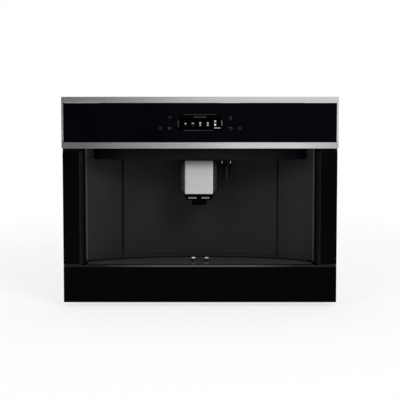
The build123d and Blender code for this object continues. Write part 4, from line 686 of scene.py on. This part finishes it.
chassis_zinc = zinc_sheet("chassis zinc", dark=(0.41, 0.42, 0.43), light=(0.465, 0.475, 0.485))
dress(chassis_zinc, "base_plate", "side_panels", "rear_panel", "top_panel", "inner_deck", "head_plate")
screw_zinc = brushed_metal("screw zinc", dark=(0.44, 0.44, 0.45), light=(0.56, 0.56, 0.57), axis="Z",
                           rough=(0.24, 0.36))[0]
head_radius, head_height, head_round = 0.0034, 0.0018, 0.0008
socket_edge, socket_depth = 0.0010, 0.0012


def screw_head(at, turn):
    """A round head with a socket, on a panel's face."""
    bpy.ops.object.select_all(action="DESELECT")
    bpy.ops.mesh.primitive_cylinder_add(
        vertices=24, radius=head_radius, depth=head_height, location=(0.0, 0.0, head_height / 2))
    head = bpy.context.object
    bpy.ops.object.transform_apply(location=True, rotation=False, scale=False)
    bpy.ops.object.mode_set(mode="EDIT")
    bpy.ops.mesh.select_all(action="DESELECT")
    bpy.ops.object.mode_set(mode="OBJECT")
    for face in head.data.polygons:
        face.select = face.center.z > head_height - 0.0001
    bpy.ops.object.mode_set(mode="EDIT")
    bpy.ops.mesh.bevel(offset=head_round, segments=3)
    bpy.ops.object.mode_set(mode="OBJECT")
    for face in head.data.polygons:
        face.select = face.center.z > head_height - 0.00001 and face.normal.z > 0.99
    bpy.ops.object.mode_set(mode="EDIT")
    bpy.ops.mesh.select_mode(type="FACE")
    bpy.ops.mesh.inset(thickness=socket_edge)
    bpy.ops.mesh.extrude_region_move(TRANSFORM_OT_translate={"value": (0.0, 0.0, -socket_depth)})
    bpy.ops.object.mode_set(mode="OBJECT")
    bpy.ops.object.shade_smooth_by_angle(angle=math.radians(35.0))
    head.rotation_euler = turn
    head.location = at
    return head


def panel_screws(name, places, turn):
    """Screws of one panel, at places on its face, turned to stand out of it."""
    settle(joined([screw_head(at, turn) for at in places]), name, screw_zinc, "machine")


# Two columns of screws and one more in the middle of the top and the bottom row.
back_x, back_rows = 0.250, (0.026, 0.160, 0.290, 0.428)
back_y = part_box("rear_panel")[1].y
rear_places = [(x, back_y, z) for x in (-back_x, back_x) for z in back_rows]
rear_places += [(0.0, back_y, back_rows[-1]), (0.0, back_y, back_rows[0])]
panel_screws("rear_screws", rear_places, (math.radians(-90.0), 0.0, 0.0))
side_low, side_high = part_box("side_panels")
top_x, front_y, middle_y, rear_y = 0.247, -0.190, 0.015, 0.215
top_places = [(x, y, side_high.z) for x in (-top_x, top_x) for y in (front_y, middle_y, rear_y)]
panel_screws("top_screws", top_places + [(0.0, rear_y, side_high.z)], (0.0, 0.0, 0.0))
side_rows = (0.160, 0.300, 0.425)
for name, side_x, turn in (("right_screws", side_high.x, 90.0), ("left_screws", side_low.x, -90.0)):
    side_places = [(side_x, y, z) for y in (front_y, rear_y) for z in side_rows]
    panel_screws(name, side_places, (0.0, math.radians(turn), 0.0))

# ---------------------------------------------------------------- runners
# Zinc plated brackets on the shelf, joined by a bar behind, with three-part telescopic rails.
# The rails are rolled from bright steel strip, and the machine hangs between the inner ones.
bracket_zinc = zinc_sheet("bracket zinc", dark=(0.46, 0.47, 0.48), light=(0.51, 0.52, 0.53))
dress(bracket_zinc, "runner_brackets", "rear_tie_bar")
rail_steel = brushed_metal("rail steel", dark=(0.50, 0.51, 0.52), light=(0.60, 0.61, 0.62), axis="Y",
                           rough=(0.24, 0.34))[0]
dress(rail_steel, "fixed_rails", "middle_rails", "inner_rails")

# ---------------------------------------------------------------- bean hopper, funnel, lids and knob
# Smoked clear hopper and lid over the grinder, a black funnel for ground coffee, and grey lids.
# All are moulded. The hopper and the funnel stand in holes of the top panel, and the lids turn on pins.


def clear_plastic(name, tint, through):
    """Translucent moulded plastic."""
    finish, tree, shader, place = open_finish(name)
    flow = grain(tree, place, 30.0, 3.0)
    coloured(tree, shader, flow, tint, [1.15 * part for part in tint])
    roughened(tree, shader, flow, 0.20, 0.26)
    relief(tree, shader, flow, 0.00002, 0.4)
    shader.inputs["Transmission Weight"].default_value = through
    shader.inputs["IOR"].default_value = 1.49
    return finish


smoked_plastic = clear_plastic("smoked plastic", (0.16, 0.155, 0.15), through=0.55)
dress(smoked_plastic, "bean_hopper", "bean_lid")
lid_grey = moulding("lid grey", dark=(0.035, 0.035, 0.037), light=(0.045, 0.045, 0.047),
                    rough=(0.40, 0.55), shine=0.45)[0]
dress(lid_grey, "preground_lid", "tank_lid")
dress(tray_black, "preground_funnel", "grind_knob")

# ---------------------------------------------------------------- water tank, its seat and the brew unit
# Clear tank, slightly blue, that lifts straight up out of its grey moulded seat.
# The grinder's housing and the brew unit are moulded in the same grey.
tank_plastic = clear_plastic("tank plastic", (0.62, 0.68, 0.72), through=0.9)
dress(tank_plastic, "water_tank")
inner_grey = moulding("inner grey", dark=(0.16, 0.16, 0.17), light=(0.20, 0.20, 0.21), rough=(0.40, 0.55))[0]
dress(inner_grey, "tank_seat", "grinder_housing", "infuser_frame", "brew_piston", "brew_chamber")

# ---------------------------------------------------------------- grinder burrs, motor and boiler
# Hardened steel burrs with ground teeth, over a motor in a cast aluminium body.
# The boiler is cast in the same way, in two halves screwed together at the lugs round its middle.
burr_steel = brushed_metal("burr steel", dark=(0.42, 0.42, 0.43), light=(0.50, 0.50, 0.51), axis="Z",
                           rough=(0.24, 0.40))[0]
dress(burr_steel, "upper_burr", "lower_burr")
cast_aluminium, tree, shader, place = open_finish("cast aluminium")
pores = grain(tree, place, 500.0, 5.0)
coloured(tree, shader, pores, (0.48, 0.48, 0.48), (0.60, 0.60, 0.60))
roughened(tree, shader, pores, 0.45, 0.62)
relief(tree, shader, pores, 0.00015, 0.7)
shader.inputs["Metallic"].default_value = 1.0
dress(cast_aluminium, "grinder_motor", "boiler")

# ---------------------------------------------------------------- pump, hoses and boards
# Black moulded pump body, and hoses extruded from translucent silicone.
# The two circuit boards are green, with copper tracks under the varnish.
dress(tray_black, "water_pump")
silicone, tree, shader, place = open_finish("silicone hose")
milk = grain(tree, place, 160.0, 3.0)
coloured(tree, shader, milk, (0.62, 0.61, 0.57), (0.74, 0.73, 0.69))
roughened(tree, shader, milk, 0.35, 0.50)
relief(tree, shader, milk, 0.00003)
shader.inputs["Subsurface Weight"].default_value = 0.2
dress(silicone, "hoses")
board_green, tree, shader, place = open_finish("circuit board")
tracks = tree.nodes.new("ShaderNodeTexBrick")
tracks.inputs["Scale"].default_value = 160.0
tracks.inputs["Mortar Size"].default_value = 0.04
for part, tone in (("Color1", (0.012, 0.075, 0.028)), ("Color2", (0.016, 0.095, 0.036)),
                   ("Mortar", (0.05, 0.20, 0.08))):
    tracks.inputs[part].default_value = (*tone, 1.0)
upright = mapped(tree, place, "Rotation", (math.radians(90.0), 0.0, 0.0))
tree.links.new(upright, tracks.inputs["Vector"])
tree.links.new(tracks.outputs["Color"], shader.inputs["Base Color"])
tree.links.new(spread(tree, tracks.outputs["Fac"], 0.35, 0.25), shader.inputs["Roughness"])
relief(tree, shader, tracks.outputs["Fac"], 0.00005)
dress(board_green, "power_board", "display_module")

# ---------------------------------------------------------------- mains inlet and switch
# Black moulded inlet, whose flange lies on the rear panel and holds the frame of the switch beside it.
# The rocker turns on two moulded pins in that frame.
dress(black_nylon, "mains_inlet")
dress(tray_black, "main_switch")

# ---------------------------------------------------------------- studio
# A plain pale floor, three soft lamps and a pale surround.
# A dark curtain stands out of view on the left, behind the camera, and gives the steel its shade.


def highest(tree, shares):
    """The highest of several values."""
    top = shares[0]
    for share in shares[1:]:
        top = worked_out(tree, "MAXIMUM", top, share)
    return top


def shown_to(tree, share, plain, shown, output):
    """Ends a tree in a plain shader, and in the shown one for the rays whose share is 1."""
    node = tree.nodes.new("ShaderNodeMixShader")
    tree.links.new(share, node.inputs["Fac"])
    tree.links.new(plain, node.inputs[1])
    tree.links.new(shown, node.inputs[2])
    tree.links.new(node.outputs["Shader"], tree.nodes[output].inputs["Surface"])


# The floor is lit as paint is, and looks white from afar and a little grey near the machine.
floor_size = 14.0
bpy.ops.mesh.primitive_plane_add(size=floor_size, location=(0.0, 0.0, 0.0))
floor = bpy.context.object
floor.name = "floor"
floor_paint, tree, shader, place = open_finish("floor paint")
shader.inputs["Base Color"].default_value = (0.84, 0.84, 0.84, 1.0)
shader.inputs["Roughness"].default_value = 0.9
shader.inputs["Specular IOR Level"].default_value = 0.1
from_machine = tree.nodes.new("ShaderNodeVectorMath")
from_machine.operation = "LENGTH"
tree.links.new(place, from_machine.inputs[0])
path = tree.nodes.new("ShaderNodeLightPath")
shares = []
for ray, near, start, stop in (("Is Camera Ray", 0.74, 0.5, 1.6), ("Is Glossy Ray", 0.45, 0.8, 2.6),
                               ("Is Transmission Ray", 0.45, 0.8, 2.6)):
    whiteness = spread(tree, from_machine.outputs["Value"], near, 1.0, start, stop)
    shares.append(worked_out(tree, "MULTIPLY", path.outputs[ray], whiteness))
white_glow = tree.nodes.new("ShaderNodeEmission").outputs["Emission"]
shown_to(tree, highest(tree, shares), shader.outputs["BSDF"], white_glow, "Material Output")
floor.data.materials.append(floor_paint)

curtain_place, curtain_width, curtain_height = (-3.92, -4.6, 1.5), 7.4, 5.0
bpy.ops.mesh.primitive_plane_add(size=1.0, location=curtain_place)
curtain = bpy.context.object
curtain.name = "curtain"
curtain.scale = (curtain_width, curtain_height, 1.0)
curtain.rotation_euler = (math.radians(90.0), 0.0, 0.0)
curtain_cloth, _, shader, _ = open_finish("curtain cloth")
shader.inputs["Base Color"].default_value = (0.02, 0.02, 0.02, 1.0)
shader.inputs["Roughness"].default_value = 1.0
shader.inputs["Specular IOR Level"].default_value = 0.0
curtain.data.materials.append(curtain_cloth)
curtain.visible_camera = False
curtain.visible_diffuse = False
curtain.visible_shadow = False

# The surround lights the machine faintly, and is white to the camera and in reflections.
world = bpy.data.worlds.new("studio")
bpy.context.scene.world = world
world.use_nodes = True
tree = world.node_tree
ambient = tree.nodes["Background"]
ambient.inputs["Color"].default_value = (0.95, 0.97, 1.0, 1.0)
ambient.inputs["Strength"].default_value = 0.30
backdrop = tree.nodes.new("ShaderNodeBackground")
backdrop.inputs["Color"].default_value = (1.0, 1.0, 1.0, 1.0)
path = tree.nodes.new("ShaderNodeLightPath")
rays = [path.outputs[ray] for ray in ("Is Camera Ray", "Is Glossy Ray", "Is Transmission Ray")]
shown_to(tree, highest(tree, rays), ambient.outputs["Background"], backdrop.outputs["Background"],
         "World Output")


def soft_lamp(name, at, towards, width, power):
    """A square soft lamp aimed at a point, kept out of reflections, where it would leave white patches."""
    bpy.ops.object.light_add(type="AREA", location=at)
    lamp = bpy.context.object
    lamp.name = name
    lamp.data.size = width
    lamp.data.energy = power
    away = [a - b for a, b in zip(at, towards)]
    across = math.hypot(away[0], away[1])
    lamp.rotation_euler = (math.atan2(across, away[2]), 0.0, math.atan2(away[0], -away[1]))
    lamp.visible_glossy = False


front_middle, top_middle = (0.0, -0.2, 0.25), (0.0, 0.0, 0.3)
soft_lamp("key lamp", at=(1.5, -2.6, 2.3), towards=front_middle, width=1.4, power=72.0)
soft_lamp("fill lamp", at=(-2.0, -2.4, 1.6), towards=front_middle, width=1.6, power=36.0)
soft_lamp("top lamp", at=(0.0, 0.6, 2.8), towards=top_middle, width=1.8, power=30.0)

# The camera stands in front of the machine and looks down on it by a few degrees, through a long lens.
camera_place, camera_tilt = (0.0, -2.427, 0.448), 4.26
bpy.ops.object.camera_add(location=camera_place)
camera = bpy.context.object
camera.rotation_euler = (math.radians(90.0 - camera_tilt), 0.0, 0.0)
camera.data.sensor_width = 36.0
camera.data.lens = 91.85
camera.data.shift_y = -0.06
bpy.context.scene.camera = camera
bpy.context.scene.view_settings.view_transform = "Standard"
